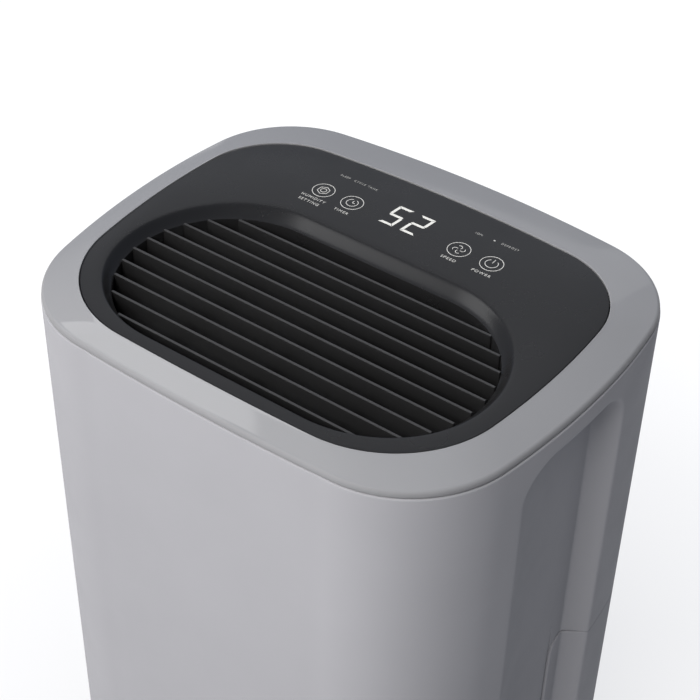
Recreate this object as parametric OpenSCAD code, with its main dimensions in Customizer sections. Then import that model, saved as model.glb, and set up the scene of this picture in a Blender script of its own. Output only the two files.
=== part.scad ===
// Portable compressor dehumidifier: a tall cabinet with a crowned top frame, a sunken outlet
// grille and touch keys, carried by two side channels, with a water tank that slides out of the
// back. The origin is on the floor under the middle of the cabinet; the front faces -Y.

/* [Cabinet] */
// Half of the cabinet's width at its widest
half_width = 146; // [140:0.5:152]
// Half of the cabinet's depth
half_depth = 121.5; // [118:0.5:126]
// Height of the top frame's outer edge above the floor
frame_top = 434; // [425:1:450]
// Height of the cabinet's lower edge above the floor
skirt_bottom = 22; // [20:0.5:24]
// Thickness of the moulded walls
wall = 2.5; // [2:0.1:3]
// Radius of the two front corners
front_corner = 64.5; // [58:0.5:66]
// Radius of the two back corners
back_corner = 60; // [54:0.5:61]

/* [Top] */
// Height of the frame's outer band
band = 5.7; // [4:0.1:8]
// Rise of the frame from its outer edge to the deck
crown = 6.3; // [3:0.1:8]
// Half of the outlet's width
outlet_half_width = 107.5; // [95:0.5:110]
// Radius of the outlet's round ends
outlet_r = 59; // [50:0.5:60]
// Distance of the outlet's middle in front of the cabinet's middle
outlet_forward = 39; // [36:0.5:42]
// Depth of the grille under the deck
bowl_depth = 6; // [4:0.1:9]
// Number of grille blades
blades = 10; // [8:1:12]
// Distance from blade to blade
blade_pitch = 11.2; // [9:0.1:13]
// Thickness of a blade
blade_t = 2; // [1.6:0.1:2.6]

/* [Side channels] */
// Depth of a side channel
channel_depth = 14; // [10:0.5:16]
// Distance of a channel's top under the frame's outer edge
channel_drop = 16; // [14:0.5:24]
// Radius of a channel's upper corners
channel_corner = 25; // [12:1:26]

/* [Water tank] */
// Height of the tank's top above the floor
tank_top = 232; // [200:1:232]
// Distance of the tank's front face behind the cabinet's middle
tank_front = 18.5; // [17:0.5:20]
// Gap between the tank and the cabinet
tank_gap = 0.8; // [0.5:0.1:1.2]

/* [Casters] */
// Radius of a caster wheel
wheel_r = 10; // [9:0.5:11]
// Width of a caster wheel
wheel_w = 12; // [10:0.5:13]
// Distance of a wheel's axle behind its swivel stem
trail = 6; // [4:0.5:7]

/* [Fan] */
// Radius of the fan wheel
fan_r = 68; // [60:1:70]
// Width of the fan wheel
fan_w = 46; // [40:1:48]
// Number of blades on the fan wheel
fan_blades = 28; // [20:1:32]

/* [Hidden] */

$fn = 64;
eps = 0.02;
far = 400;
cable_bore_r = 4;

// Levels
skirt_top = skirt_bottom + 12;
pan_t = 4;
shell_bottom = skirt_top;
frame_bottom = frame_top - band;
shell_top = frame_bottom - 0.8;
deck_top = frame_top + crown - 0.4;
deck_t = 2.6;
tongue = 7;
grille_top = deck_top - bowl_depth;
bay_roof = tank_top + 2;

// Steps along the three arcs of a quarter of an outline
side_steps = 3;
corner_steps = 8;
end_steps = 3;

// Outline records: widest half width, its y, front y, back y,
// front corner [x, y, radius], back corner [x, y, radius]
side_bow = 6;
cabinet = [
    half_width, 12, -half_depth, half_depth,
    [half_width - side_bow - front_corner, 2 - half_depth + front_corner, front_corner],
    [half_width - side_bow / 2 - back_corner, half_depth - back_corner - 5, back_corner]
];
deck_half_width = half_width - 20;
deck_front = half_depth - 12.5;
deck_back = half_depth - 32;
deck_corner_front = 65;
deck_corner_back = 50;
deck = [
    deck_half_width, 8, -deck_front, deck_back,
    [deck_half_width - 3.5 - deck_corner_front, 0.8 - deck_front + deck_corner_front, deck_corner_front],
    [deck_half_width - 1.2 - deck_corner_back, deck_back - 3.5 - deck_corner_back, deck_corner_back]
];

// Side channel in plan: front lip, start and end of the floor, back lip
channel_floor = half_width - channel_depth - 0.5;
channel_front = -51;
floor_front = 10;
floor_back = 30;
channel_back = 38;
channel_top = frame_top - channel_drop;
front_slope = atan((channel_depth - 4) / (floor_front - channel_front));
back_slope = atan(8 / 13.7);

// Back parts
cover_split = 95;
window_half_width = 88;
window_bottom = 270;
window_top = 412;
intake_y = half_depth - 6;
intake_t = 3;
intake_bars = 16;
filter_y = intake_y - intake_t - 6;

// Coils
coil_bottom = bay_roof + 12;
coil_top = 412;
coil_half_width = 106;
evaporator_y = 80;
condenser_y = 54;
coil_t = 20;
tube_r = 3.5;
coil_rows = 8;

// Fan
fan_z = 326;
fan_back = -12;
fan_front = fan_back - fan_w;
scroll_back = fan_back + 5;
scroll_front = fan_front - 5;
shaft_r = 4;
motor_r = 38;
motor_len = 40;

// Compressor
comp_at = [-52, -50];
comp_r = 48;
comp_bottom = skirt_top + 14;
comp_top = comp_bottom + 150;
foot_r = 9;

// Drain and cord openings at the back
drain_at = [70, 248.5];
spigot_r = 8;
spigot_bore_r = 5.5;
cup_r = 13;
spigot_tip = half_depth - 5;
gland_at = [-60, 250];
gland_r = 9;
screw_r = 1.8;
screw_head_y = 108;
cover_screw_places = [[-99, 256], [99, 256], [-99, 412], [99, 412]];

// Casters: stem places, socket and stem
caster_places = [[-100, -78], [100, -78], [-100, 76], [100, 76]];
stem_r = 4;
stem_clear = 0.05;
stem_top = skirt_top - 1.5;
fork_top = skirt_bottom + 1.5;
socket_bottom = skirt_bottom + 2.5;
axle_r = 2;

// Touch keys: x of the four keys, their y and the radius of a key
key_xs = [-57, -37.5, 32.5, 52.5];
key_y = 53;
key_r = 6.2;
digits_y = 57;

// ---------- Outlines ----------

// Points of a quarter of an outline, from its side to its end; back is 1 or -1
function quarter(o, back, inset) =
    let (c = back > 0 ? o[5] : o[4], r = c[2], end_y = back > 0 ? o[3] : o[2],
         u = o[0] - c.x, dy = abs(c.y - o[1]), side_r = (u * u + dy * dy - r * r) / (2 * (u - r)),
         v = abs(end_y - c.y), end_r = (v * v + c.x * c.x - r * r) / (2 * (v - r)),
         a = asin(dy / (side_r - r)), b = asin(c.x / (end_r - r)))
    concat(
        [for (i = [0:side_steps - 1]) let (t = a * i / side_steps)
            [o[0] - side_r + (side_r - inset) * cos(t), o[1] + back * (side_r - inset) * sin(t)]],
        [for (i = [0:corner_steps]) let (t = a + (90 - b - a) * i / corner_steps)
            [c.x + (r - inset) * cos(t), c.y + back * (r - inset) * sin(t)]],
        [for (i = [1:end_steps]) let (t = 90 - b + b * i / end_steps)
            [(end_r - inset) * cos(t), end_y - back * end_r + back * (end_r - inset) * sin(t)]]
    );

// A closed loop from a back quarter and a front quarter
function mirrored(b, f) =
    let (n = len(b) - 1)
    concat(
        b,
        [for (i = [n - 1:-1:0]) [-b[i].x, b[i].y]],
        [for (i = [1:n]) [-f[i].x, f[i].y]],
        [for (i = [n - 1:-1:1]) f[i]]
    );

function outline(o, inset) = mirrored(quarter(o, 1, inset), quarter(o, -1, inset));

// The outlet's outline: two half circles joined by straight edges, with as many points
function pill_quarter(back, grow) =
    let (c = outlet_half_width - outlet_r, r = outlet_r + grow, n = side_steps + corner_steps)
    concat(
        [for (i = [0:n]) let (t = 90 * i / n) [c + r * cos(t), -outlet_forward + back * r * sin(t)]],
        [for (i = [1:end_steps]) [c * (1 - i / end_steps), -outlet_forward + back * r]]
    );

function pill(grow) = mirrored(pill_quarter(1, grow), pill_quarter(-1, grow));

// The bowl's rim: the outlet's outline grown more at the back than at the front
function rim(grow_side, grow_back, grow_front) =
    [for (p = pill(grow_side))
        let (more = p.y > -outlet_forward ? grow_back - grow_side : grow_side - grow_front,
             share = pow(abs(p.y + outlet_forward) / (outlet_r + grow_side), 2))
        [p.x, p.y + more * share]];

function at_z(points, z) = [for (p = points) [p.x, p.y, z]];

// A solid ring through closed loops that follow each other around its section
module ring_loft(loops) {
    n = len(loops[0]);
    m = len(loops);
    polyhedron(
        points = [for (l = loops) each l],
        faces = [for (j = [0:m - 1]) for (i = [0:n - 1])
            let (k = (j + 1) % m, h = (i + 1) % n)
            each [[j * n + i, k * n + h, j * n + h], [j * n + i, k * n + i, k * n + h]]]
    );
}

module prism(points, z0, z1) {
    translate([0, 0, z0]) linear_extrude(z1 - z0) polygon(points);
}

// A bar along X, Y or Z from its middle
module block(size, at) {
    translate(at) cube(size, center = true);
}

module rod(r, from, to) {
    v = to - from;
    len = norm(v);
    translate(from) rotate([0, acos(v.z / len), atan2(v.y, v.x)]) cylinder(r = r, h = len);
}

// Both sides of the cabinet
module both_sides() {
    children();
    mirror([1, 0, 0]) children();
}

// ---------- Cabinet ----------

// Plan of the space outside a side channel's walls, grown by d into the cabinet
module channel_plan(d) {
    x0 = channel_floor - d;
    out = half_width + 30;
    front_y = floor_front - (out - x0 - d / cos(front_slope) + d) / tan(front_slope);
    back_y = floor_back + (d + sin(back_slope) * (out - channel_floor)) / cos(back_slope);
    corner_back = floor_back + d * (1 - sin(back_slope)) / cos(back_slope);
    polygon([[x0, floor_front - d * tan(front_slope / 2)], [out, front_y], [out, back_y], [x0, corner_back]]);
}

// Side view of a channel, open at the bottom, grown by d
module channel_face(d) {
    r = channel_corner + d;
    y0 = channel_front - d;
    y1 = channel_back + 0.4 + d;
    top = channel_top + d;
    translate([y0, 0]) square([y1 - y0, top - r]);
    translate([y0 + r, 0]) square([y1 - y0 - 2 * r, top]);
    for (y = [y0 + r, y1 - r]) translate([y, top - r]) circle(r);
}

module channel_space(d) {
    both_sides() intersection() {
        linear_extrude(far + 100) channel_plan(d);
        translate([channel_floor - 20, 0, 0]) rotate([90, 0, 90]) linear_extrude(60) channel_face(d);
    }
}

// Side view of the tank with its rounded upper front corner, grown by g
module tank_face(g) {
    r = 10 + g;
    y0 = tank_front - g;
    translate([y0, 0]) square([far, tank_top + g - r]);
    translate([y0 + r, 0]) square([far, tank_top + g]);
    translate([y0 + r, tank_top + g - r]) circle(r);
}

module tank_space(g) {
    translate([-far / 2, 0, 0]) rotate([90, 0, 90]) linear_extrude(far) tank_face(g);
}

// The cabinet's full section, set in by d, between two heights
module core(d, z0, z1) {
    difference() {
        prism(outline(cabinet, d), z0, z1);
        channel_space(d);
    }
}

// The cabinet's outer skin between two heights
module skin(z0, z1) {
    difference() {
        core(0, z0, z1);
        core(wall, z0 - 1, z1 + 1);
    }
}

module base_pan() {
    color("dimgray") difference() {
        core(0.4, skirt_bottom, skirt_top);
        difference() {
            core(0.4 + wall, skirt_bottom - 1, skirt_top - pan_t);
            for (p = caster_places) translate([p.x, p.y, socket_bottom]) cylinder(r = 9, h = 20);
        }
        for (p = caster_places) translate([p.x, p.y, 0])
            cylinder(r = stem_r + stem_clear, h = stem_top + 0.3);
    }
}

module front_shell() {
    color("silver") difference() {
        intersection() {
            skin(shell_bottom, shell_top);
            translate([-far / 2, cover_split - far, 0]) cube([far, far - 0.2, 2 * far]);
        }
        tank_space(tank_gap);
    }
}

// A round feature of the back wall, along +Y from y0, cut off at the cabinet's outline
module back_boss(at, r, y0) {
    intersection() {
        translate([at.x, y0, at.y]) rotate([-90, 0, 0]) cylinder(r = r, h = 60);
        prism(outline(cabinet, 0), at.y - r - 1, at.y + r + 1);
    }
}

module back_bore(at, r, y0) {
    translate([at.x, y0, at.y]) rotate([-90, 0, 0]) cylinder(r = r, h = far);
}

module window_box(grow, y0) {
    translate([-window_half_width - grow, y0, window_bottom - grow])
        cube([2 * (window_half_width + grow), far, window_top - window_bottom + 2 * grow]);
}

module rear_cover() {
    color("silver") difference() {
        union() {
            intersection() {
                skin(tank_top + tank_gap, shell_top);
                translate([-far / 2, cover_split, 0]) cube([far, far, 2 * far]);
            }
            back_boss(drain_at, cup_r + wall, intake_y - 11);
            back_boss(gland_at, gland_r + 4, intake_y - 4);
            for (p = cover_screw_places) back_boss(p, 6, screw_head_y - 9);
            intersection() {
                window_box(wall, intake_y - 9);
                prism(outline(cabinet, 0), window_bottom - 9, window_top + 9);
            }
        }
        window_box(0, 0);
        back_bore(drain_at, cup_r, 0);
        back_bore(gland_at, gland_r - 2, 0);
        for (p = cover_screw_places) {
            back_bore(p, screw_r, 0);
            back_bore(p, 2 * screw_r + 0.6, screw_head_y);
        }
        tank_space(tank_gap);
    }
}

module top_frame() {
    color("silver") ring_loft([
        at_z(outline(cabinet, 0), frame_bottom),
        at_z(outline(cabinet, 0), frame_top - 1.8),
        at_z(outline(cabinet, 0.6), frame_top - 0.5),
        at_z(outline(cabinet, 2), frame_top + 0.4),
        at_z(outline(deck, -0.3), frame_top + crown),
        at_z(outline(deck, -0.3), frame_top + crown - 4),
        at_z(outline(cabinet, wall + 2.6), frame_bottom + 1),
        at_z(outline(cabinet, wall + 2.4), frame_bottom - tongue),
        at_z(outline(cabinet, wall + 0.4), frame_bottom - tongue),
        at_z(outline(cabinet, wall + 0.4), frame_bottom)
    ]);
}

module key_places() {
    for (x = key_xs) translate([x, key_y, 0]) children();
}

board_top = deck_top - deck_t - 8;

module board_posts() {
    for (x = [-66, 66]) for (y = [-12, 12]) translate([x, digits_y + y, 0]) children();
}

module control_deck() {
    color([0.12, 0.12, 0.13]) difference() {
        ring_loft([
            at_z(outline(deck, 0), deck_top),
            at_z(rim(7, 14, 4), deck_top),
            at_z(rim(4.5, 9, 2.6), deck_top - 1.2),
            at_z(pill(0), grille_top),
            at_z(pill(0), grille_top - deck_t),
            at_z(rim(5.5, 10, 3.4), grille_top - deck_t),
            at_z(rim(8.5, 16, 5.5), deck_top - deck_t),
            at_z(outline(deck, 0), deck_top - deck_t)
        ]);
        translate([0, digits_y, deck_top]) cube([34, 26, 20], center = true);
    }
    color([0.12, 0.12, 0.13]) board_posts() translate([0, 0, board_top])
        cylinder(r = 3, h = deck_top - deck_t - board_top + eps);
}

module outlet_grille() {
    ring_bottom = grille_top - 20;
    ring_top = grille_top - deck_t;
    middle = 1.6 + outlet_forward;
    color([0.12, 0.12, 0.13]) {
        difference() {
            prism(pill(2.2), ring_bottom, ring_top);
            prism(pill(-0.4), ring_bottom - 1, ring_top + 1);
        }
        intersection() {
            union() {
                prism(pill(1), ring_bottom, ring_top - 1);
                prism(pill(-0.4), ring_top - 2, grille_top);
            }
            union() {
                for (i = [0:blades - 1]) block([far, blade_t, 36],
                    [0, ((blades - 1) / 2 - i) * blade_pitch - middle, grille_top]);
                for (x = [-1, 0, 1]) block([2.4, far, 10], [x * outlet_half_width / 2, 0, ring_bottom]);
            }
        }
    }
}

module display_window() {
    color([0.1, 0.1, 0.11]) difference() {
        translate([-17, digits_y - 13, deck_top - deck_t]) cube([34, 26, deck_t]);
        translate([-14, digits_y - 11, deck_top - 10]) cube([28, 22, 9]);
    }
}

module touch_keys() {
    color("white") key_places() difference() {
        translate([0, 0, deck_top - deck_t - 0.6]) cylinder(r = key_r, h = 0.6);
        translate([0, 0, deck_top - deck_t - 1]) cylinder(r = key_r - 1, h = 2);
    }
}

module control_board() {
    color("darkgreen") translate([-72, digits_y - 15, board_top - 1.6]) cube([144, 30, 1.6]);
}

module digit_module() {
    color("black") translate([-13.5, digits_y - 10.5, board_top])
        cube([27, 21, deck_top - 1 - board_top - 0.2]);
}

module touch_springs() {
    color("gold") key_places() difference() {
        translate([0, 0, board_top]) cylinder(r = 4, h = deck_top - deck_t - 0.6 - board_top);
        translate([0, 0, board_top - 1]) cylinder(r = 3, h = 20);
    }
}

// ---------- Back: intake grille and filter ----------

module intake_grille() {
    w = 2 * window_half_width - 1.2;
    h = window_top - window_bottom - 1.2;
    z = (window_bottom + window_top) / 2;
    color("silver") translate([0, intake_y - intake_t / 2, z]) {
        difference() {
            cube([w, intake_t, h], center = true);
            cube([w - 16, 10, h - 16], center = true);
        }
        for (i = [0:intake_bars - 1])
            translate([0, 0, (i - (intake_bars - 1) / 2) * (h - 14) / intake_bars])
                cube([w - 15, intake_t, 3.4], center = true);
        for (x = [-w / 4, 0, w / 4]) translate([x, 0, 0]) cube([3, intake_t, h - 15], center = true);
    }
}

module filter_frame() {
    w = 2 * window_half_width - 3;
    h = window_top - window_bottom - 3;
    z = (window_bottom + window_top) / 2;
    depth = intake_y - intake_t - filter_y;
    color("dimgray") translate([0, filter_y + depth / 2, z]) {
        difference() {
            cube([w, depth, h], center = true);
            cube([w - 12, 20, h - 12], center = true);
        }
        for (x = [-w / 6, w / 6]) translate([x, -depth / 4, 0]) cube([3, depth / 2, h - 11], center = true);
        for (s = [-h / 6, h / 6]) translate([0, -depth / 4, s]) cube([w - 11, depth / 2, 3], center = true);
    }
}

module filter_mesh() {
    w = 2 * window_half_width - 15.4;
    h = window_top - window_bottom - 15.4;
    color("gray") translate([0, filter_y + 4.5, (window_bottom + window_top) / 2])
        cube([w, 1, h], center = true);
}

// ---------- Water tank ----------

tank_floor = skirt_top + 0.6;

module tank_block(d, bottom, top) {
    intersection() {
        difference() {
            prism(outline(cabinet, d), bottom, top);
            channel_space(d);
        }
        tank_space(-d);
    }
}

module water_tank() {
    color("silver") difference() {
        tank_block(0, tank_floor, tank_top);
        tank_block(wall, tank_floor + wall, tank_top - wall - 3);
        intersection() {
            tank_block(wall, tank_floor + wall, tank_top + 20);
            translate([-far / 2, tank_front + 12, tank_top - 20]) cube([far, far, 40]);
        }
    }
}

module tank_lid() {
    color("gainsboro") difference() {
        intersection() {
            tank_block(wall + 0.5, tank_top - 6, tank_top - 3.5);
            translate([-far / 2, tank_front + 12.5, tank_top - 20]) cube([far, far, 40]);
        }
        translate([0, 76, tank_top - 20]) cylinder(r = 14, h = 40);
        translate([84, 96, tank_top - 20]) cylinder(r = 11, h = 40);
    }
}

float_at = [-70, 84, tank_top - 30];

module float_pin() {
    color("silver") rod(1.5, float_at - [13, 0, 0], float_at + [13, 0, 0]);
    for (side = [-1, 1]) color("gainsboro") difference() {
        translate([float_at.x + side * 11.5 - 1, float_at.y, float_at.z]) {
            translate([0, -4, 0]) cube([2, 8, tank_top - 6 - float_at.z]);
            rotate([0, 90, 0]) cylinder(r = 4, h = 2);
        }
        rod(1.5, float_at - [20, 0, 0], float_at + [20, 0, 0]);
    }
}

module tank_float() {
    color("white") translate(float_at) difference() {
        union() {
            translate([-8, -20, -3]) cube([16, 20, 6]);
            rod(4, [-8, 0, 0], [8, 0, 0]);
            translate([-14, -52, -9]) cube([28, 34, 18]);
        }
        rod(1.55, [-20, 0, 0], [20, 0, 0]);
        translate([0, -45, 3]) cylinder(r = 5.05, h = 10);
    }
}

module float_magnet() {
    color("black") translate(float_at + [0, -45, 3]) cylinder(r = 5, h = 5.8);
}

// ---------- Inner frame ----------

bulkhead_y = tank_front - tank_gap - 3.5;
bulkhead_half = channel_floor - wall - 2;
switch_z = float_at.z + 2;

module bulkhead() {
    color("dimgray") difference() {
        translate([-bulkhead_half, bulkhead_y, skirt_top])
            cube([2 * bulkhead_half, wall, bay_roof - skirt_top]);
        block([14, 20, 18], [float_at.x, bulkhead_y, switch_z]);
    }
}

tray_bottom = bay_roof;
tray_x = 108;
tray_front = 24;
tray_back = 100;
tray_rim = tray_bottom + 11;

module drip_tray() {
    sump_front = tray_back - 9;
    shelf_front = tank_front - tank_gap - 3.5;
    shelf_half = channel_floor - wall - 2;
    color("gray") difference() {
        union() {
            translate([-tray_x, tray_front, tray_bottom])
                cube([2 * tray_x, tray_back - tray_front, tray_rim - tray_bottom]);
            translate([-shelf_half, shelf_front, tray_bottom])
                cube([2 * shelf_half, tray_front - shelf_front + 1, wall]);
            translate([drain_at.x - 11, sump_front, tray_bottom])
                cube([22, 9, drain_at.y + 11 - tray_bottom]);
            translate([drain_at.x, tray_back - 1, drain_at.y]) rotate([-90, 0, 0])
                cylinder(r = spigot_r, h = spigot_tip - tray_back + 1);
        }
        translate([wall - tray_x, tray_front + wall, tray_bottom + wall])
            cube([2 * (tray_x - wall), sump_front - tray_front - 2 * wall, 20]);
        back_bore(drain_at, spigot_bore_r, sump_front - 9);
        translate([0, 76, tray_bottom - 5]) cylinder(r = 6, h = 20);
    }
}

module drain_stopper() {
    color("dimgray") {
        translate([drain_at.x, spigot_tip - 9, drain_at.y]) rotate([-90, 0, 0])
            cylinder(r = spigot_bore_r - 0.05, h = 9.02);
        translate([drain_at.x, spigot_tip + 0.02, drain_at.y]) rotate([-90, 0, 0]) cylinder(r = 7.2, h = 2.5);
    }
}

module cord_gland() {
    color("black") translate([gland_at.x, 0, gland_at.y]) rotate([-90, 0, 0]) difference() {
        union() {
            translate([0, 0, intake_y - 7]) cylinder(r = gland_r - 2, h = 11);
            translate([0, 0, intake_y - 7]) cylinder(r = gland_r + 1, h = 3);
        }
        cylinder(r = cable_bore_r, h = far);
    }
}

module reed_switch() {
    color("white") {
        block([14, wall, 18], [float_at.x, bulkhead_y + wall / 2, switch_z]);
        block([18, 6, 24], [float_at.x, bulkhead_y - 3, switch_z]);
    }
}

// ---------- Refrigeration ----------

coil_step = (coil_top - coil_bottom - 24) / (coil_rows - 1);

module coil(y) {
    h = coil_top - coil_bottom;
    difference() {
        translate([-coil_half_width, y - coil_t / 2, coil_bottom]) cube([2 * coil_half_width, coil_t, h]);
        for (side = [-1, 1]) for (z = [0:9])
            translate([side * (coil_half_width - 4.5), y, coil_bottom + 9 + z * (h - 18) / 9])
                cube([6, coil_t + 2, 3], center = true);
    }
    for (i = [0:coil_rows - 1]) both_sides()
        rod(tube_r, [coil_half_width - 1, y, coil_bottom + 12 + i * coil_step],
            [coil_half_width + 5, y, coil_bottom + 12 + i * coil_step]);
}

module evaporator() {
    color("lightsteelblue") coil(evaporator_y);
}

module condenser() {
    color("silver") coil(condenser_y);
}

// Return bends that join the coil tubes in pairs
module coil_pipes() {
    color("peru") for (y = [evaporator_y, condenser_y]) for (side = [-1, 1])
        for (i = [side > 0 ? 0 : 1:2:coil_rows - 2])
            translate([side * (coil_half_width + 5), y, coil_bottom + 12 + (i + 0.5) * coil_step])
                rotate([side > 0 ? 90 : -90, 0, side > 0 ? 0 : 180]) rotate([0, 0, -90])
                    rotate_extrude(angle = 180) translate([coil_step / 2, 0]) circle(tube_r, $fn = 24);
}

module compressor() {
    color([0.15, 0.15, 0.16]) translate([comp_at.x, comp_at.y, 0]) {
        rotate_extrude() polygon([
            [0, comp_bottom], [30, comp_bottom], [comp_r - 4, comp_bottom + 8], [comp_r, comp_bottom + 18],
            [comp_r, comp_top - 22], [comp_r - 6, comp_top - 8], [26, comp_top], [0, comp_top]
        ]);
        for (a = [90, 210, 330]) rotate([0, 0, a]) difference() {
            translate([0, -9, comp_bottom]) cube([comp_r + 6, 18, 3]);
            translate([comp_r - 3, 0, comp_bottom - 1]) cylinder(r = 4.5, h = 5);
        }
    }
}

module compressor_feet() {
    color("black") translate([comp_at.x, comp_at.y, 0]) for (a = [90, 210, 330]) rotate([0, 0, a])
        translate([comp_r - 3, 0, skirt_top]) {
            cylinder(r = foot_r, h = comp_bottom - skirt_top);
            cylinder(r = 4.5, h = comp_bottom - skirt_top + 3);
        }
}

acc_at = [comp_at.x + comp_r + 20, comp_at.y - 18];

module accumulator() {
    color([0.15, 0.15, 0.16]) translate([acc_at.x, acc_at.y, 0]) rotate_extrude() polygon([
        [0, comp_bottom + 30], [10, comp_bottom + 30], [16, comp_bottom + 38],
        [16, comp_bottom + 112], [10, comp_bottom + 120], [0, comp_bottom + 120]
    ]);
}

module terminal_cover() {
    color("black") translate([comp_at.x, comp_at.y, comp_top]) difference() {
        translate([-16, -12, 0]) cube([32, 24, 14]);
        translate([-14, -10, -1]) cube([28, 20, 13]);
    }
}

// A bent tube through points: each ring lies in the plane that halves its bend
function direction(points, i) = let (n = len(points) - 1, a = points[max(i - 1, 0)], b = points[i],
    c = points[min(i + 1, n)], u = i > 0 ? (b - a) / norm(b - a) : [0, 0, 0],
    v = i < n ? (c - b) / norm(c - b) : [0, 0, 0]) (u + v) / norm(u + v);

module pipe(points, r, sides = 12) {
    n = len(points);
    ref = [0.4, 0.9, 0.17];
    rings = [for (i = [0:n - 1])
        let (d = direction(points, i), s = cross(d, ref) / norm(cross(d, ref)), t = cross(d, s))
        for (k = [0:sides - 1]) points[i] + r * (cos(360 * k / sides) * s + sin(360 * k / sides) * t)];
    polyhedron(rings, concat(
        [[for (k = [0:sides - 1]) k]],
        [[for (k = [sides - 1:-1:0]) (n - 1) * sides + k]],
        [for (i = [0:n - 2]) for (k = [0:sides - 1])
            let (a = i * sides + k, b = i * sides + (k + 1) % sides)
            each [[a, b + sides, b], [a, a + sides, b + sides]]]
    ));
}

module suction_pipe() {
    top = comp_bottom + 120;
    low = comp_bottom + 18;
    color("peru") {
        pipe([[acc_at.x, acc_at.y, top], [acc_at.x, acc_at.y, top + 22],
            [acc_at.x + 8, acc_at.y + 6, top + 30], [92, 2, top + 44], [106, 6, top + 50],
            [120, 8, bay_roof + 2], [121, 16, bay_roof + 10],
            [121, evaporator_y - 10, bay_roof + 14], [121, evaporator_y, bay_roof + 20]], 3);
        pipe([[comp_at.x + comp_r, acc_at.y + 10, low], [acc_at.x - 6, acc_at.y + 4, low],
            [acc_at.x, acc_at.y, low + 4], [acc_at.x, acc_at.y, comp_bottom + 30]], 3);
    }
}

module discharge_pipe() {
    x = comp_at.x - 21;
    color("peru") pipe([[x, comp_at.y, comp_top], [x, comp_at.y, comp_top + 14],
        [x - 6, comp_at.y + 6, comp_top + 20], [-114, -2, comp_top + 24],
        [-118, 4, comp_top + 30], [-119, 10, coil_bottom + 4],
        [-120, condenser_y - 8, coil_bottom + 8], [-120, condenser_y, coil_bottom + 12]], 2.5);
}

// ---------- Fan ----------

// Spiral of the fan housing in the X-Z plane: the gap grows with the angle from the tongue
function scroll_r(t, d) = fan_r + 6 + 20 * t / 300 + d;
function scroll_points(d) = concat(
    [for (t = [0:12:300]) scroll_r(t, d) * [cos(t + 60), sin(t + 60)]],
    [[scroll_r(300, d), 76], [20 - d, 76]]
);

module scroll_section(d) {
    polygon(scroll_points(d));
}

module fan_scroll() {
    color("gainsboro") translate([0, scroll_back, fan_z]) rotate([90, 0, 0]) difference() {
        linear_extrude(scroll_back - scroll_front) scroll_section(2);
        translate([0, 0, 2]) linear_extrude(scroll_back - scroll_front - 4) scroll_section(0);
        translate([0, 0, -1]) cylinder(r = 52, h = 4);
        cylinder(r = shaft_r + 4, h = 200);
        translate([24, 60, 2]) cube([scroll_r(300, 0) - 24, 30, scroll_back - scroll_front - 4]);
    }
}

module inlet_ring() {
    color("gainsboro") translate([0, scroll_back, fan_z]) rotate([-90, 0, 0]) difference() {
        cylinder(r = 60, h = 3);
        translate([0, 0, -1]) cylinder(r = 48, h = 5);
    }
}

module outlet_duct() {
    z = fan_z + 76;
    ring_bottom = grille_top - 20;
    y0 = scroll_front;
    depth = scroll_back - scroll_front;
    color("gainsboro") difference() {
        union() {
            translate([18, y0, z]) cube([scroll_r(300, 0) - 14, depth, ring_bottom - 2 - z]);
            prism(pill(2), ring_bottom - 2, ring_bottom);
        }
        translate([20, y0 + 2, z - 1]) cube([scroll_r(300, 0) - 18, depth - 4, 40]);
    }
}

module fan_motor() {
    color("darkslategray") translate([0, scroll_front, fan_z]) rotate([90, 0, 0]) difference() {
        union() {
            cylinder(r = motor_r, h = motor_len);
            cylinder(r = motor_r + 8, h = 3);
            cylinder(r = 14, h = motor_len + 6);
        }
        translate([0, 0, -1]) cylinder(r = shaft_r + 0.05, h = motor_len - 8);
    }
}

module fan_shaft() {
    color("silver") translate([0, fan_back - 4, fan_z]) rotate([90, 0, 0])
        cylinder(r = shaft_r, h = fan_back - 4 - scroll_front + motor_len - 14);
}

module fan_wheel() {
    color([0.2, 0.2, 0.22]) translate([0, fan_back, fan_z]) rotate([90, 0, 0]) {
        difference() {
            union() {
                translate([0, 0, fan_w - 3]) cylinder(r = fan_r, h = 3);
                translate([0, 0, 8]) cylinder(r = 12, h = fan_w - 8);
            }
            cylinder(r = shaft_r, h = 100);
        }
        difference() {
            cylinder(r = fan_r, h = 4);
            translate([0, 0, -1]) cylinder(r = fan_r - 14, h = 6);
        }
        for (i = [0:fan_blades - 1]) rotate([0, 0, i * 360 / fan_blades])
            translate([fan_r - 12, 0, 3.5]) rotate([0, 0, 35]) cube([11, 1.4, fan_w - 6]);
    }
}

// ---------- Electrics ----------

module power_box() {
    color("lightgray") difference() {
        translate([38, -96, skirt_top]) cube([70, 44, 110]);
        translate([40, -94, skirt_top + 2]) cube([66, 40, 120]);
    }
}

module run_capacitor() {
    color("lightgray") translate([60, -74, skirt_top + 2]) cylinder(r = 17, h = 70);
}

module humidity_sensor() {
    color("white") translate([coil_half_width - 20, evaporator_y - 5, coil_top]) cube([12, 10, 5]);
}

// ---------- Screws ----------

// A cross-head screw along +Z, with its head on z = 0
module screw(length) {
    translate([0, 0, -length]) cylinder(r = screw_r, h = length);
    difference() {
        cylinder(r = 2 * screw_r, h = 1.8);
        for (a = [0, 90]) rotate([0, 0, a]) block([2.4 * screw_r, 0.9, 1.6], [0, 0, 1.4]);
    }
}

module cover_screws() {
    color("dimgray") for (p = cover_screw_places)
        translate([p.x, screw_head_y, p.y]) rotate([-90, 0, 0]) screw(9);
}

module base_screws() {
    color("dimgray") for (x = [-60, 60]) for (y = [-106, -20])
        translate([x, y, skirt_top - pan_t - 1.8]) cylinder(r = 4, h = 1.8);
}

module deck_screws() {
    color("dimgray") board_posts() translate([0, 0, board_top - 3.4]) cylinder(r = 2.6, h = 1.8);
}

// ---------- Casters ----------

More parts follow.
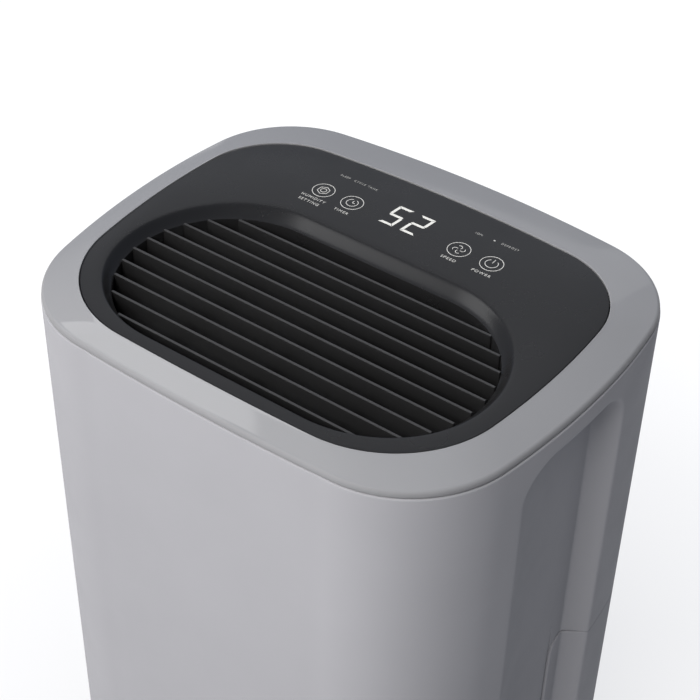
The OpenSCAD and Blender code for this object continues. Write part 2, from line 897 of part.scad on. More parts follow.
module caster_fork(at) {
    side = wheel_w / 2 + 0.4;
    color([0.2, 0.2, 0.21]) translate([at.x, at.y, 0]) {
        translate([0, 0, fork_top - 2]) cylinder(r = 8, h = 2);
        translate([0, 0, fork_top - 1]) cylinder(r = stem_r, h = stem_top - fork_top + 1);
        for (s = [-1, 1]) difference() {
            translate([s * (side + 1) - 1, 0, 0]) {
                translate([0, trail, wheel_r]) rotate([0, 90, 0]) cylinder(r = 4.5, h = 2);
                translate([0, -4, fork_top - 3]) cube([2, 8 + trail - 4, 3]);
                translate([0, trail - 4.5, wheel_r]) cube([2, 9, fork_top - 2 - wheel_r]);
            }
        }
        rod(axle_r, [-side - 1, trail, wheel_r], [side + 1, trail, wheel_r]);
        block([2 * side + 4, 14, 2], [0, trail / 2, fork_top - 1]);
    }
}

module caster_wheel(at) {
    color([0.12, 0.12, 0.13]) translate([at.x - wheel_w / 2, at.y + trail, wheel_r])
        rotate([0, 90, 0]) difference() {
            cylinder(r = wheel_r, h = wheel_w);
            translate([0, 0, -1]) cylinder(r = axle_r + 0.08, h = wheel_w + 2);
        }
}

base_pan();
front_shell();
rear_cover();
top_frame();
control_deck();
outlet_grille();
display_window();
touch_keys();
control_board();
digit_module();
touch_springs();
intake_grille();
filter_mesh();
filter_frame();
water_tank();
tank_lid();
tank_float();
float_magnet();
float_pin();
reed_switch();
bulkhead();
drip_tray();
drain_stopper();
cord_gland();
evaporator();
condenser();
coil_pipes();
compressor();
compressor_feet();
accumulator();
terminal_cover();
suction_pipe();
discharge_pipe();
fan_scroll();
inlet_ring();
outlet_duct();
fan_motor();
fan_shaft();
fan_wheel();
power_box();
run_capacitor();
humidity_sensor();
cover_screws();
base_screws();
deck_screws();
caster_fork(caster_places[0]);  // caster_fork_fl
caster_fork(caster_places[1]);  // caster_fork_fr
caster_fork(caster_places[2]);  // caster_fork_bl
caster_fork(caster_places[3]);  // caster_fork_br
caster_wheel(caster_places[0]);  // caster_wheel_fl
caster_wheel(caster_places[1]);  // caster_wheel_fr
caster_wheel(caster_places[2]);  // caster_wheel_bl
caster_wheel(caster_places[3]);  // caster_wheel_br
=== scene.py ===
"""Dehumidifier: the visible skins, grilles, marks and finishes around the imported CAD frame.

Lengths are in millimetres until a mesh is made; the origin is on the floor under the middle
of the cabinet, +Z is up and the front faces -Y.
"""

import math

import bmesh
import bpy
from mathutils import Matrix, Vector


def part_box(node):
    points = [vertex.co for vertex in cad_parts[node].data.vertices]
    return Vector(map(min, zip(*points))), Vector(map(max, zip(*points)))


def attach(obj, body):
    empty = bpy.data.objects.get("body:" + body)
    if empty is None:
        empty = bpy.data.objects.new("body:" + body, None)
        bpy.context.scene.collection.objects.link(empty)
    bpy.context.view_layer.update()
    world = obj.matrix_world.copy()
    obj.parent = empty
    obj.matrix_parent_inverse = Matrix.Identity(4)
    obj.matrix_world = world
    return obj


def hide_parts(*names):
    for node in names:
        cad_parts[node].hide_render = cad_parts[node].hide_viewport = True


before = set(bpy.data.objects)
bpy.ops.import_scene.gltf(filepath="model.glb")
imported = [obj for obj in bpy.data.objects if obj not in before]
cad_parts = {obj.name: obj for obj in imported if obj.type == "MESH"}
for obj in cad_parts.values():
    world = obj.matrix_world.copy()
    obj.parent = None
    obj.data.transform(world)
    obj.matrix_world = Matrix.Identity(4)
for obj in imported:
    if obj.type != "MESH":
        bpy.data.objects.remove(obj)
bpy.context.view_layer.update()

MM = 0.001


# ---------- Sizes ----------

def box_mm(node):
    """Lowest and highest corner of a CAD node in millimetres."""
    low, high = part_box(node)
    return low / MM, high / MM


def middle_mm(node):
    low, high = box_mm(node)
    return (low + high) / 2


RING_HIGH = box_mm("top_frame")[1]
HALF_WIDTH = RING_HIGH.x
HALF_DEPTH = RING_HIGH.y
CROWN = 6.3  # rise of the ring from its outer edge to the deck
BAND = 5.7  # height of the ring's outer band
FRAME_TOP = RING_HIGH.z - CROWN
FRAME_BOTTOM = FRAME_TOP - BAND
SHELL_BOTTOM = box_mm("front_shell")[0].z
SEAM_LIFT = 2.2  # how far the seam under the ring stands above its CAD height
SHELL_TOP = box_mm("front_shell")[1].z + SEAM_LIFT
DECK_TOP = box_mm("control_deck")[1].z
BOWL_DEPTH = 6.0
GRILLE_TOP = DECK_TOP - BOWL_DEPTH
WALL = 2.4
TANK_LOW, TANK_HIGH = box_mm("water_tank")
TANK_FRONT = TANK_LOW.y
TANK_TOP = TANK_HIGH.z
TANK_GAP = 0.45
TANK_NOSE = 10.0  # radius of the tank's upper front edge, seen from the side
TANK_EDGE_R = 1.3
SPLIT_Y = 95.0  # seam between the front shell and the back cover
FRONT_FLAT = 72  # half width of the front between its corners
BACK_FLAT = 88  # half width of the back between its corners
OUTLET_HALF = 107.5
OUTLET_R = 59.0
OUTLET_Y = -39.0

# Side channel: front lip, start and end of the floor, back lip, top and corner radius
CHANNEL_FLOOR = HALF_WIDTH - 14.5
CHANNEL_FRONT = -51.0
FLOOR_FRONT = 10.0
CHANNEL_BACK = 38.4
CHANNEL_TOP = FRAME_TOP - 16.0
CHANNEL_CORNER = 25.0
REAR_SLOPE = 1.71

CREASE = 38  # edges sharper than this many degrees stay crisp
TURN_STEPS = 48
LOOP_STEPS = (10, 26, 12)  # steps along a side arc, a corner and an end arc


def tangent_radius(reach, across, corner_r):
    """Radius of an arc tangent to a corner arc whose centre lies reach and across away."""
    return (reach ** 2 + across ** 2 - corner_r ** 2) / (2 * (reach - corner_r))


class Outline:
    """A plan outline of bowed sides and ends joined by corner arcs, all tangent."""

    def __init__(self, half_width, widest, front, back, front_corner, back_corner):
        self.half_width = half_width
        self.widest = widest
        self.ends = {-1: front, 1: back}
        self.corners = {-1: front_corner, 1: back_corner}

    def arcs(self, back):
        """Radii of the side and end arcs, and the angles that they turn through."""
        cx, cy, r = self.corners[back]
        dy = abs(cy - self.widest)
        side_r = tangent_radius(self.half_width - cx, dy, r)
        end_r = tangent_radius(abs(self.ends[back] - cy), cx, r)
        return side_r, end_r, math.asin(dy / (side_r - r)), math.asin(cx / (end_r - r))

    def quarter(self, back, inset):
        """Points from the widest place of the +X side to the middle of an end."""
        cx, cy, r = self.corners[back]
        side_r, end_r, a, b = self.arcs(back)
        steps = LOOP_STEPS
        points = []
        for i in range(steps[0]):
            t = a * i / steps[0]
            reach = side_r - inset
            points.append((self.half_width - side_r + reach * math.cos(t),
                           self.widest + back * reach * math.sin(t)))
        for i in range(steps[1] + 1):
            t = a + (math.pi / 2 - b - a) * i / steps[1]
            points.append((cx + (r - inset) * math.cos(t), cy + back * (r - inset) * math.sin(t)))
        for i in range(1, steps[2] + 1):
            t = math.pi / 2 - b + b * i / steps[2]
            reach = end_r - inset
            points.append((reach * math.cos(t),
                           self.ends[back] - back * end_r + back * reach * math.sin(t)))
        return points

    def loop(self, inset):
        """The whole outline, set in, counterclockwise from the +X side."""
        return closed(self.quarter(1, inset), self.quarter(-1, inset))

    def side(self, y):
        """Half width at y and the outward normal there."""
        back = 1 if y >= self.widest else -1
        cx, cy, r = self.corners[back]
        side_r, _, a, _ = self.arcs(back)
        away = abs(y - self.widest)
        if away <= side_r * math.sin(a):
            t = math.asin(away / side_r)
            return self.half_width - side_r + side_r * math.cos(t), (math.cos(t), back * math.sin(t))
        t = math.asin(max(-1, min(1, back * (y - cy) / r)))
        return cx + r * math.cos(t), (math.cos(t), back * math.sin(t))

    def end(self, back, x):
        """Y of an end at x and the outward normal there."""
        cx, cy, r = self.corners[back]
        _, end_r, _, b = self.arcs(back)
        if abs(x) <= end_r * math.sin(b):
            t = math.asin(x / end_r)
            return self.ends[back] - back * end_r * (1 - math.cos(t)), (math.sin(t), back * math.cos(t))
        t = math.acos(max(-1, min(1, (abs(x) - cx) / r)))
        side = math.copysign(1, x)
        return cy + back * r * math.sin(t), (side * math.cos(t), back * math.sin(t))


def closed(back, front):
    """A closed loop from a back quarter and a front quarter of equal length."""
    n = len(back) - 1
    loop = list(back)
    loop += [(-back[i][0], back[i][1]) for i in range(n - 1, -1, -1)]
    loop += [(-front[i][0], front[i][1]) for i in range(1, n + 1)]
    loop += [front[i] for i in range(n - 1, 0, -1)]
    return loop


CABINET = Outline(HALF_WIDTH, 12, -HALF_DEPTH, HALF_DEPTH,
                  (HALF_WIDTH - 70.5, 66.5 - HALF_DEPTH, 64.5),
                  (HALF_WIDTH - 63, HALF_DEPTH - 65, 60))
DECK = Outline(HALF_WIDTH - 20, 8, 12.5 - HALF_DEPTH, HALF_DEPTH - 32,
               (HALF_WIDTH - 88.5, 78.3 - HALF_DEPTH, 65),
               (HALF_WIDTH - 71.2, HALF_DEPTH - 85.5, 50))


def smooth_min(a, b, k):
    """The smaller of two numbers, blended over a band of k."""
    if k <= 0:
        return min(a, b)
    h = max(k - abs(a - b), 0) / k
    return min(a, b) - h * h * k / 4


def smooth_max(a, b, k):
    return -smooth_min(-a, -b, k)


def arch_distance(y, z):
    """Distance inside the channel's rounded opening, seen from the side."""
    r = CHANNEL_CORNER
    from_top = CHANNEL_TOP - r
    if z > from_top and y < CHANNEL_FRONT + r:
        return r - math.hypot(y - CHANNEL_FRONT - r, z - from_top)
    if z > from_top and y > CHANNEL_BACK - r:
        return r - math.hypot(y - CHANNEL_BACK + r, z - from_top)
    return min(y - CHANNEL_FRONT, CHANNEL_BACK - y, CHANNEL_TOP - z)


LIP_X = CABINET.side(CHANNEL_FRONT)[0]


def channel_depth(y, z):
    """How far the side channel lies under the cabinet's outline."""
    outer = CABINET.side(y)[0]
    rest = max(0, 1 - (y - CHANNEL_FRONT) / (FLOOR_FRONT - CHANNEL_FRONT))
    slope = smooth_max(0, outer - (CHANNEL_FLOOR + (LIP_X - CHANNEL_FLOOR) * rest ** 1.9), 0.5)
    plan = smooth_min(slope, outer - CHANNEL_FLOOR, 3.5)
    wall = smooth_max(0, REAR_SLOPE * arch_distance(y, z), 2.6)
    return max(0, smooth_min(plan, wall, min(3.5, plan, wall)))


def edge_drop(distance, r):
    """How far a rounded edge falls away at a distance from its end."""
    if distance >= r:
        return 0.0
    return r - math.sqrt(r * r - (r - max(distance, 0)) ** 2)


def eased(start, end, count, first=1.0, last=1.0):
    """Numbers from start to end, closer together near an end whose power is over 1."""
    values = []
    for i in range(count + 1):
        t = i / count
        low = t ** first
        high = 1 - (1 - t) ** last
        values.append(start + (end - start) * ((1 - t) * low + t * high))
    return values


# ---------- Mesh tools ----------

def mesh_object(name, verts, faces, material, crease=CREASE):
    """A smooth object from points in millimetres, with creases kept sharp."""
    mesh = bpy.data.meshes.new(name)
    mesh.from_pydata([Vector(v) * MM for v in verts], [], faces)
    return finished(name, mesh, material, crease)


def finished(name, mesh, material, crease=CREASE):
    """Links a mesh as an object with clean normals and smooth faces between sharp edges."""
    bm = bmesh.new()
    bm.from_mesh(mesh)
    bmesh.ops.remove_doubles(bm, verts=bm.verts, dist=1e-7)
    bmesh.ops.recalc_face_normals(bm, faces=bm.faces)
    for face in bm.faces:
        face.smooth = True
    limit = math.radians(crease)
    for edge in bm.edges:
        edge.smooth = not (edge.is_manifold and edge.calc_face_angle(0) > limit)
    bm.to_mesh(mesh)
    bm.free()
    obj = bpy.data.objects.new(name, mesh)
    bpy.context.scene.collection.objects.link(obj)
    mesh.materials.append(material)
    return obj


def thick_skin(name, outer, inner, material):
    """A closed skin from two grids of points, one behind the other; a missing point is None."""
    index = {}
    verts = []
    for side, grid in enumerate((outer, inner)):
        for i, column in enumerate(grid):
            for j, point in enumerate(column):
                if point is not None:
                    index[side, i, j] = len(verts)
                    verts.append(point)
    cells = [(i, j) for i in range(len(outer) - 1) for j in range(len(outer[0]) - 1)
             if all((0, i + a, j + b) in index for a in (0, 1) for b in (0, 1))]
    faces = []
    rims = {}
    for i, j in cells:
        corners = [(i, j), (i + 1, j), (i + 1, j + 1), (i, j + 1)]
        faces.append([index[(0,) + c] for c in corners])
        faces.append([index[(1,) + c] for c in reversed(corners)])
        for c, d in zip(corners, corners[1:] + corners[:1]):
            if (d, c) in rims:
                del rims[d, c]
            else:
                rims[c, d] = True
    for c, d in rims:
        faces.append([index[(0,) + d], index[(0,) + c], index[(1,) + c], index[(1,) + d]])
    return mesh_object(name, verts, faces, material)


def lofted(name, loops, material, closed_section=False, caps=False, crease=CREASE):
    """A surface through loops of 3-D points with equal counts."""
    n = len(loops[0])
    m = len(loops)
    verts = [p for loop in loops for p in loop]
    faces = []
    for j in range(m if closed_section else m - 1):
        k = (j + 1) % m
        for i in range(n):
            h = (i + 1) % n
            faces.append([j * n + i, j * n + h, k * n + h, k * n + i])
    if caps:
        faces.append(list(range(n)))
        faces.append([(m - 1) * n + i for i in reversed(range(n))])
    return mesh_object(name, verts, faces, material, crease)


def at_z(points, z):
    return [(p[0], p[1], z) for p in points]


def mixed(a, b, t):
    """A loop part of the way from loop a to loop b."""
    return [(p[0] + (q[0] - p[0]) * t, p[1] + (q[1] - p[1]) * t) for p, q in zip(a, b)]


def rounded_box(bm, centre, size, r=0.6, segments=2):
    """Adds a box with rounded edges to a bmesh, in millimetres."""
    made = bmesh.ops.create_cube(bm, size=1)
    verts = made["verts"]
    for v in verts:
        v.co = Vector([v.co[k] * size[k] + centre[k] for k in range(3)]) * MM
    edges = list({e for v in verts for e in v.link_edges})
    bmesh.ops.bevel(bm, geom=edges, offset=r * MM, segments=segments, profile=0.5, affect="EDGES")


def from_bmesh(name, bm, material):
    mesh = bpy.data.meshes.new(name)
    bm.to_mesh(mesh)
    bm.free()
    return finished(name, mesh, material)


def lathe(profile, place):
    """Loops of a profile of (radius, height) points turned about an axis set by a matrix."""
    turns = [2 * math.pi * i / TURN_STEPS for i in range(TURN_STEPS)]
    loops = []
    for radius, height in profile:
        loops.append([place @ Vector((radius * math.cos(t), radius * math.sin(t), height)) for t in turns])
    return loops


def turned(name, profile, place, material, ring=False):
    """A turned piece: a closed ring section, or a solid with flat ends."""
    return lofted(name, lathe(profile, place), material, closed_section=ring, caps=not ring)


def along_y(x, y, z):
    """Axis pointing to +Y from a place."""
    return Matrix.Translation((x, y, z)) @ Matrix.Rotation(-math.pi / 2, 4, "X")


def along_x(x, y, z):
    return Matrix.Translation((x, y, z)) @ Matrix.Rotation(math.pi / 2, 4, "Y")


def placed(obj, body, slot, *nodes):
    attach(obj, body)
    if nodes:
        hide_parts(*nodes)
    return obj


# ---------- Materials ----------

class Recipe:
    """A node material around one Principled shader, in object coordinates."""

    def __init__(self, name, colour, roughness, metallic=0.0):
        self.material = bpy.data.materials.new(name)
        self.material.use_nodes = True
        self.nodes = self.material.node_tree.nodes
        self.links = self.material.node_tree.links
        self.shader = self.nodes["Principled BSDF"]
        self.shader.inputs["Base Color"].default_value = (*colour, 1)
        self.shader.inputs["Roughness"].default_value = roughness
        self.shader.inputs["Metallic"].default_value = metallic
        self.coordinates = self.nodes.new("ShaderNodeTexCoord")
        self.colour = colour
        self.height = None

    def noise(self, scale, detail=2.0, stretch=(1, 1, 1)):
        mapping = self.nodes.new("ShaderNodeMapping")
        mapping.inputs["Scale"].default_value = stretch
        self.links.new(self.coordinates.outputs["Object"], mapping.inputs["Vector"])
        node = self.nodes.new("ShaderNodeTexNoise")
        node.inputs["Scale"].default_value = scale
        node.inputs["Detail"].default_value = detail
        self.links.new(mapping.outputs["Vector"], node.inputs["Vector"])
        return node.outputs["Fac"]

    def bands(self, scale, axis):
        node = self.nodes.new("ShaderNodeTexWave")
        node.wave_type = "BANDS"
        node.bands_direction = axis
        node.inputs["Scale"].default_value = scale
        self.links.new(self.coordinates.outputs["Object"], node.inputs["Vector"])
        return node.outputs["Fac"]

    def ramp(self, value, stops):
        node = self.nodes.new("ShaderNodeValToRGB")
        ramp = node.color_ramp
        for k, (place, colour) in enumerate(stops):
            stop = ramp.elements[k] if k < 2 else ramp.elements.new(place)
            stop.position = place
            stop.color = (*colour, 1)
        self.links.new(value, node.inputs["Fac"])
        return node.outputs["Color"]

    def vary_colour(self, scale, amount, detail=3.0, stretch=(1, 1, 1)):
        """Mottles the base colour a little."""
        low = tuple(c * (1 - amount) for c in self.colour)
        high = tuple(min(1, c * (1 + amount)) for c in self.colour)
        ramp = self.ramp(self.noise(scale, detail, stretch), [(0.3, low), (0.7, high)])
        self.links.new(ramp, self.shader.inputs["Base Color"])
        return self

    def vary_roughness(self, scale, low, high):
        node = self.nodes.new("ShaderNodeMapRange")
        node.inputs["From Min"].default_value = 0.3
        node.inputs["From Max"].default_value = 0.7
        node.inputs["To Min"].default_value = low
        node.inputs["To Max"].default_value = high
        self.links.new(self.noise(scale, 3.0), node.inputs["Value"])
        self.links.new(node.outputs["Result"], self.shader.inputs["Roughness"])
        return self

    def bump(self, height, strength, distance):
        """Adds a bump layer on top of those before it."""
        node = self.nodes.new("ShaderNodeBump")
        node.inputs["Strength"].default_value = strength
        node.inputs["Distance"].default_value = distance
        self.links.new(height, node.inputs["Height"])
        if self.height is not None:
            self.links.new(self.height, node.inputs["Normal"])
        self.height = node.outputs["Normal"]
        self.links.new(self.height, self.shader.inputs["Normal"])
        return self

    def set(self, **values):
        for name, value in values.items():
            self.shader.inputs[name.replace("_", " ")].default_value = value
        return self


def moulded_plastic(name, colour, low, high, grain=0.25, mottle=0.02):
    """Spark-eroded moulded plastic: fine grain, faint mottle, uneven gloss."""
    recipe = Recipe(name, colour, (low + high) / 2)
    recipe.vary_colour(14, mottle)
    recipe.vary_roughness(40, low, high)
    recipe.bump(recipe.noise(9, 2.0), 0.05, 0.0006)
    recipe.bump(recipe.noise(1500, 2.0), grain, 0.00003)
    return recipe


def plain_plastic(name, colour, low, high):
    return moulded_plastic(name, colour, low, high).material


def dull_plastic(name, colour, low, high):
    """Moulded plastic with hardly any sheen."""
    return moulded_plastic(name, colour, low, high).set(Specular_IOR_Level=0.05).material


def brushed_metal(name, colour, low, high):
    recipe = Recipe(name, colour, (low + high) / 2, metallic=1.0)
    recipe.vary_colour(60, 0.06)
    recipe.vary_roughness(90, low, high)
    recipe.bump(recipe.noise(700, 3.0), 0.2, 0.00004)
    return recipe.material


def soft_rubber(name, colour):
    recipe = Recipe(name, colour, 0.75)
    recipe.vary_colour(120, 0.15)
    recipe.vary_roughness(200, 0.65, 0.85)
    recipe.bump(recipe.noise(1100, 3.0), 0.35, 0.00008)
    return recipe.material


def finned_metal(name):
    """A block of thin aluminium fins, with painted shade as darker bands in the gaps between them."""
    recipe = Recipe(name, (0.6, 0.61, 0.63), 0.4, metallic=0.8)
    fins = recipe.bands(105, "X")
    # Dark stop of the bands: painted shade in the gaps between fins.
    ramp = recipe.ramp(fins, [(0.25, (0.1, 0.1, 0.11)), (0.7, (0.66, 0.67, 0.69))])
    recipe.links.new(ramp, recipe.shader.inputs["Base Color"])
    recipe.bump(fins, 0.8, 0.0005)
    return recipe.material


def circuit_board(name):
    recipe = Recipe(name, (0.02, 0.12, 0.05), 0.4)
    recipe.vary_colour(260, 0.5, detail=1.0, stretch=(1, 0.2, 1))
    recipe.bump(recipe.noise(400, 1.0, (1, 0.2, 1)), 0.2, 0.0001)
    return recipe.material


def lit_mark(name, colour, glow):
    recipe = Recipe(name, colour, 0.5)
    recipe.vary_colour(300, 0.04)
    recipe.set(Emission_Color=(*colour, 1), Emission_Strength=glow)
    return recipe.material


def satin_panel(name):
    return moulded_plastic(name, (0.0058, 0.0058, 0.0062), 0.26, 0.32, grain=0.15, mottle=0.03).material


BODY = dull_plastic("body_plastic", (0.168, 0.17, 0.185), 0.54, 0.62)
RING = moulded_plastic("ring_plastic", (0.113, 0.115, 0.123), 0.05, 0.07, grain=0.02).material
RING_EDGE = dull_plastic("ring_edge", (0.112, 0.114, 0.122), 0.3, 0.4)
PANEL = satin_panel("panel_satin")
BLADE = plain_plastic("blade_plastic", (0.006, 0.006, 0.0063), 0.5, 0.58)
# Lighter copy of the blade plastic for the blades' upward faces: a painted highlight where the top light
# falls.
BLADE_TOP_HIGHLIGHT = plain_plastic("blade_top_painted_highlight", (0.016, 0.016, 0.017), 0.34, 0.42)
DARK = plain_plastic("base_plastic", (0.035, 0.035, 0.038), 0.45, 0.55)
INNER = plain_plastic("inner_plastic", (0.42, 0.43, 0.45), 0.45, 0.55)
WHITE = plain_plastic("white_plastic", (0.72, 0.72, 0.7), 0.4, 0.5)
BLACK = plain_plastic("black_plastic", (0.02, 0.02, 0.022), 0.4, 0.5)
RUBBER = soft_rubber("black_rubber", (0.018, 0.018, 0.019))
NET = plain_plastic("net_plastic", (0.12, 0.125, 0.13), 0.5, 0.6)
ALUMINIUM = finned_metal("aluminium_fins")
COPPER = brushed_metal("copper_tube", (0.72, 0.36, 0.22), 0.25, 0.4)
STEEL = brushed_metal("steel", (0.55, 0.55, 0.56), 0.3, 0.45)
GALVANISED = brushed_metal("sheet_steel", (0.5, 0.51, 0.52), 0.35, 0.55)
BRASS = brushed_metal("spring_brass", (0.7, 0.52, 0.24), 0.3, 0.45)
ENAMEL = plain_plastic("black_enamel", (0.02, 0.021, 0.023), 0.25, 0.35)
BOARD = circuit_board("circuit_board")
LED = lit_mark("digit_light", (0.27, 0.272, 0.266), 0.2)
MARK = lit_mark("key_mark", (0.26, 0.26, 0.257), 0.0)
FAINT = lit_mark("faint_mark", (0.17, 0.17, 0.17), 0.0)


# ---------- Cabinet skins ----------

def arch_reach(z):
    """How far the channel's two lips turn inwards at a height."""
    r = CHANNEL_CORNER
    up = z - (CHANNEL_TOP - r)
    if up <= 0:
        return 0.0
    return r - math.sqrt(max(0, r * r - min(up, r) ** 2))


FRONT_ZONE = -76.0
BACK_ZONE = 58.0
INSIDE_YS = (eased(CHANNEL_FRONT, FLOOR_FRONT - 12, 16, first=1.7)
             + eased(FLOOR_FRONT - 12, TANK_FRONT - TANK_GAP, 14)[1:]
             + eased(TANK_FRONT - TANK_GAP, TANK_FRONT + TANK_NOSE, 18, first=2.4)[1:]
             + eased(TANK_FRONT + TANK_NOSE, CHANNEL_BACK, 20, last=1.4)[1:])


def zone_columns():
    """Columns across the channel, as functions that give y at a height."""
    def front_lip(z):
        return CHANNEL_FRONT + arch_reach(z)

    def back_lip(z):
        return CHANNEL_BACK - arch_reach(z)

    columns = []
    for t in eased(0, 1, 12, last=2.2)[:-1]:
        columns.append(lambda z, t=t: FRONT_ZONE + (front_lip(z) - FRONT_ZONE) * t)
    span = CHANNEL_BACK - CHANNEL_FRONT
    for y in INSIDE_YS:
        u = (y - CHANNEL_FRONT) / span
        columns.append(lambda z, u=u: front_lip(z) + (back_lip(z) - front_lip(z)) * u)
    for t in eased(0, 1, 12, first=2.2)[1:]:
        columns.append(lambda z, t=t: back_lip(z) + (BACK_ZONE - back_lip(z)) * t)
    return columns


def front_quarter_columns():
    """Columns from the middle of the front to the channel's zone, on the +X side."""
    columns = []
    for x in eased(0, FRONT_FLAT, 12)[:-1]:
        y, normal = CABINET.end(-1, x)
        columns.append(lambda z, p=(x, y), n=normal: (p, n))
    cx, cy, r = CABINET.corners[-1]
    start = math.acos((FRONT_FLAT - cx) / r)
    stop = math.asin((cy - FRONT_ZONE) / r)
    for t in eased(start, stop, 22)[:-1]:
        normal = (math.cos(t), -math.sin(t))
        point = (cx + r * normal[0], cy + r * normal[1])
        columns.append(lambda z, p=point, n=normal: (p, n))
    return columns


def side_point(y):
    x, normal = CABINET.side(y)
    return (x, y), normal


def shell_columns():
    """Columns of the front shell from the middle of the front to its back edge."""
    columns = front_quarter_columns()
    for column in zone_columns():
        columns.append(lambda z, c=column: side_point(c(z)))
    for y in eased(BACK_ZONE, SPLIT_Y, 12, last=1.3)[1:]:
        columns.append(lambda z, y=y: side_point(y))
    return columns


def tank_line(y, gap):
    """Height of the tank's upper edge at y, with its rounded nose, grown by a gap."""
    r = TANK_NOSE + gap
    back = max(0, TANK_FRONT + TANK_NOSE - y)
    if back >= r:
        return TANK_TOP - TANK_NOSE
    return TANK_TOP - TANK_NOSE + math.sqrt(r * r - back * back)


EDGE_STEPS = (0, 0.1, 0.3, 0.6, 1.0, 1.5)


def shell_heights():
    """Heights above the tank's band that every column shares, round the channel's arch and the top edge."""
    r = CHANNEL_CORNER
    levels = [290, 340, CHANNEL_TOP - r - 4]
    levels += [CHANNEL_TOP - r + r * math.sin(math.radians(t)) for t in range(0, 91, 6)]
    levels += [CHANNEL_TOP + d for d in (0.15, 0.4, 0.8, 1.5, 3)]
    levels += [SHELL_TOP - d for d in reversed(EDGE_STEPS)]
    return levels


def skin_point(column, z, inward, drop=0.0):
    """A point of the cabinet's skin, set in along the outline's normal."""
    (x, y), (nx, ny) = column(z)
    depth = channel_depth(y, z) if FRONT_ZONE < y < BACK_ZONE else 0.0
    x -= depth
    return x - nx * (inward + drop), y - ny * (inward + drop), z


def shell_column(column):
    """Outer and inner points of one column of the front shell, from the bottom up."""
    y_low = column(SHELL_BOTTOM)[0][1]
    free = y_low <= TANK_FRONT - TANK_GAP + 1e-6
    outer = []
    inner = []
    lower = [SHELL_BOTTOM + e for e in EDGE_STEPS] + [80, 130, 180]
    base = TANK_TOP - TANK_NOSE if free else tank_line(y_low, TANK_GAP)
    band = [base + e for e in EDGE_STEPS] + [base + 4, 245, 262]
    for z in lower + band + shell_heights():
        if z in lower and not free:
            outer.append(None)
            inner.append(None)
            continue
        drop = edge_drop(SHELL_TOP - z, 0.9)
        if free:
            drop = max(drop, edge_drop(z - SHELL_BOTTOM, 0.5))
            if z <= TANK_TOP:
                drop = max(drop, edge_drop(TANK_FRONT - TANK_GAP - y_low, 0.6))
        else:
            drop = max(drop, edge_drop(z - base, 0.6 if y_low < CHANNEL_BACK - 0.5 else 0.2))
        drop = max(drop, edge_drop(SPLIT_Y - y_low, 0.4))
        outer.append(skin_point(column, z, 0, drop))
        inner.append(skin_point(column, z, WALL))
    return outer, inner


def mirrored(column):
    return [None if p is None else (-p[0], p[1], p[2]) for p in column]


def mirrored_columns(columns):
    """Columns of the -X side followed by those of the +X side."""
    return [mirrored(column) for column in columns[:0:-1]] + columns


def cabinet_shell():
    pairs = [shell_column(c) for c in shell_columns()]
    outer = mirrored_columns([p[0] for p in pairs])
    inner = mirrored_columns([p[1] for p in pairs])
    shell = thick_skin("cabinet_shell", outer, inner, BODY)
    return placed(shell, "cabinet", "shell_grey", "front_shell")


# ---------- Back cover ----------

WINDOW_LOW, WINDOW_HIGH = box_mm("intake_grille")
WINDOW_GAP = 0.6
WINDOW_HALF = WINDOW_HIGH.x + WINDOW_GAP
WINDOW_BOTTOM = WINDOW_LOW.z - WINDOW_GAP
WINDOW_TOP = WINDOW_HIGH.z + WINDOW_GAP
FILTER_Y = box_mm("filter_frame")[0].y


def back_columns():
    """Points and normals of the back cover from its seam to the middle of the back."""
    cx, cy, r = CABINET.corners[1]
    start = math.asin((SPLIT_Y + 0.2 - cy) / r)
    edge_x = WINDOW_HALF + 3
    columns = []
    for t in eased(start, math.acos((edge_x - cx) / r), 22, first=1.2):
        normal = (math.cos(t), math.sin(t))
        columns.append(((cx + r * normal[0], cy + r * normal[1]), normal))
    for x in [WINDOW_HALF + d for d in (1.6, 0.8, 0.3, 0)] + eased(WINDOW_HALF, 0, 16)[1:]:
        y, normal = CABINET.end(1, x)
        columns.append(((x, y), normal))
    return columns


def window_edge(x, z):
    """Distance outside the intake window."""
    return max(abs(x) - WINDOW_HALF, WINDOW_BOTTOM - z, z - WINDOW_TOP)


def rear_skin():
    """Outer and inner points of the back cover, with no points over the intake window."""
    base = TANK_TOP + TANK_GAP
    levels = [base + e for e in EDGE_STEPS] + [245, 258]
    levels += [WINDOW_BOTTOM - d for d in (3, 1.6, 0.8, 0.3, 0)]
    levels += eased(WINDOW_BOTTOM, WINDOW_TOP, 8)[1:-1]
    levels += [WINDOW_TOP + d for d in (0, 0.3, 0.8, 1.6, 3)] + [420]
    levels += [SHELL_TOP - d for d in reversed(EDGE_STEPS)]
    outer = []
    inner = []
    for (x, y), (nx, ny) in back_columns():
        outer.append([])
        inner.append([])
        for z in levels:
            gap = window_edge(x, z)
            if gap < -1e-6:
                outer[-1].append(None)
                inner[-1].append(None)
                continue
            drop = max(edge_drop(SHELL_TOP - z, 0.9), edge_drop(z - base, 0.3), edge_drop(gap, 0.9),
                       edge_drop(y - SPLIT_Y - 0.2, 0.4))
            outer[-1].append((x - nx * drop, y - ny * drop, z))
            behind = FILTER_Y if gap < 1e-6 else y - ny * WALL
            inner[-1].append((x - nx * WALL if gap > 1e-6 else x, behind, z))
    outer += [mirrored(column) for column in outer[-2::-1]]
    inner += [mirrored(column) for column in inner[-2::-1]]
    return outer, inner


DRAIN = middle_mm("drain_stopper")
GLAND = middle_mm("cord_gland")
SCREW_LOW, SCREW_HIGH = box_mm("cover_screws")
SCREW_R = 3.6
SCREW_X = SCREW_HIGH.x - SCREW_R
SCREW_ZS = (SCREW_LOW.z + SCREW_R, SCREW_HIGH.z - SCREW_R)
SCREW_PLACES = [(x, z) for x in (-SCREW_X, SCREW_X) for z in SCREW_ZS]


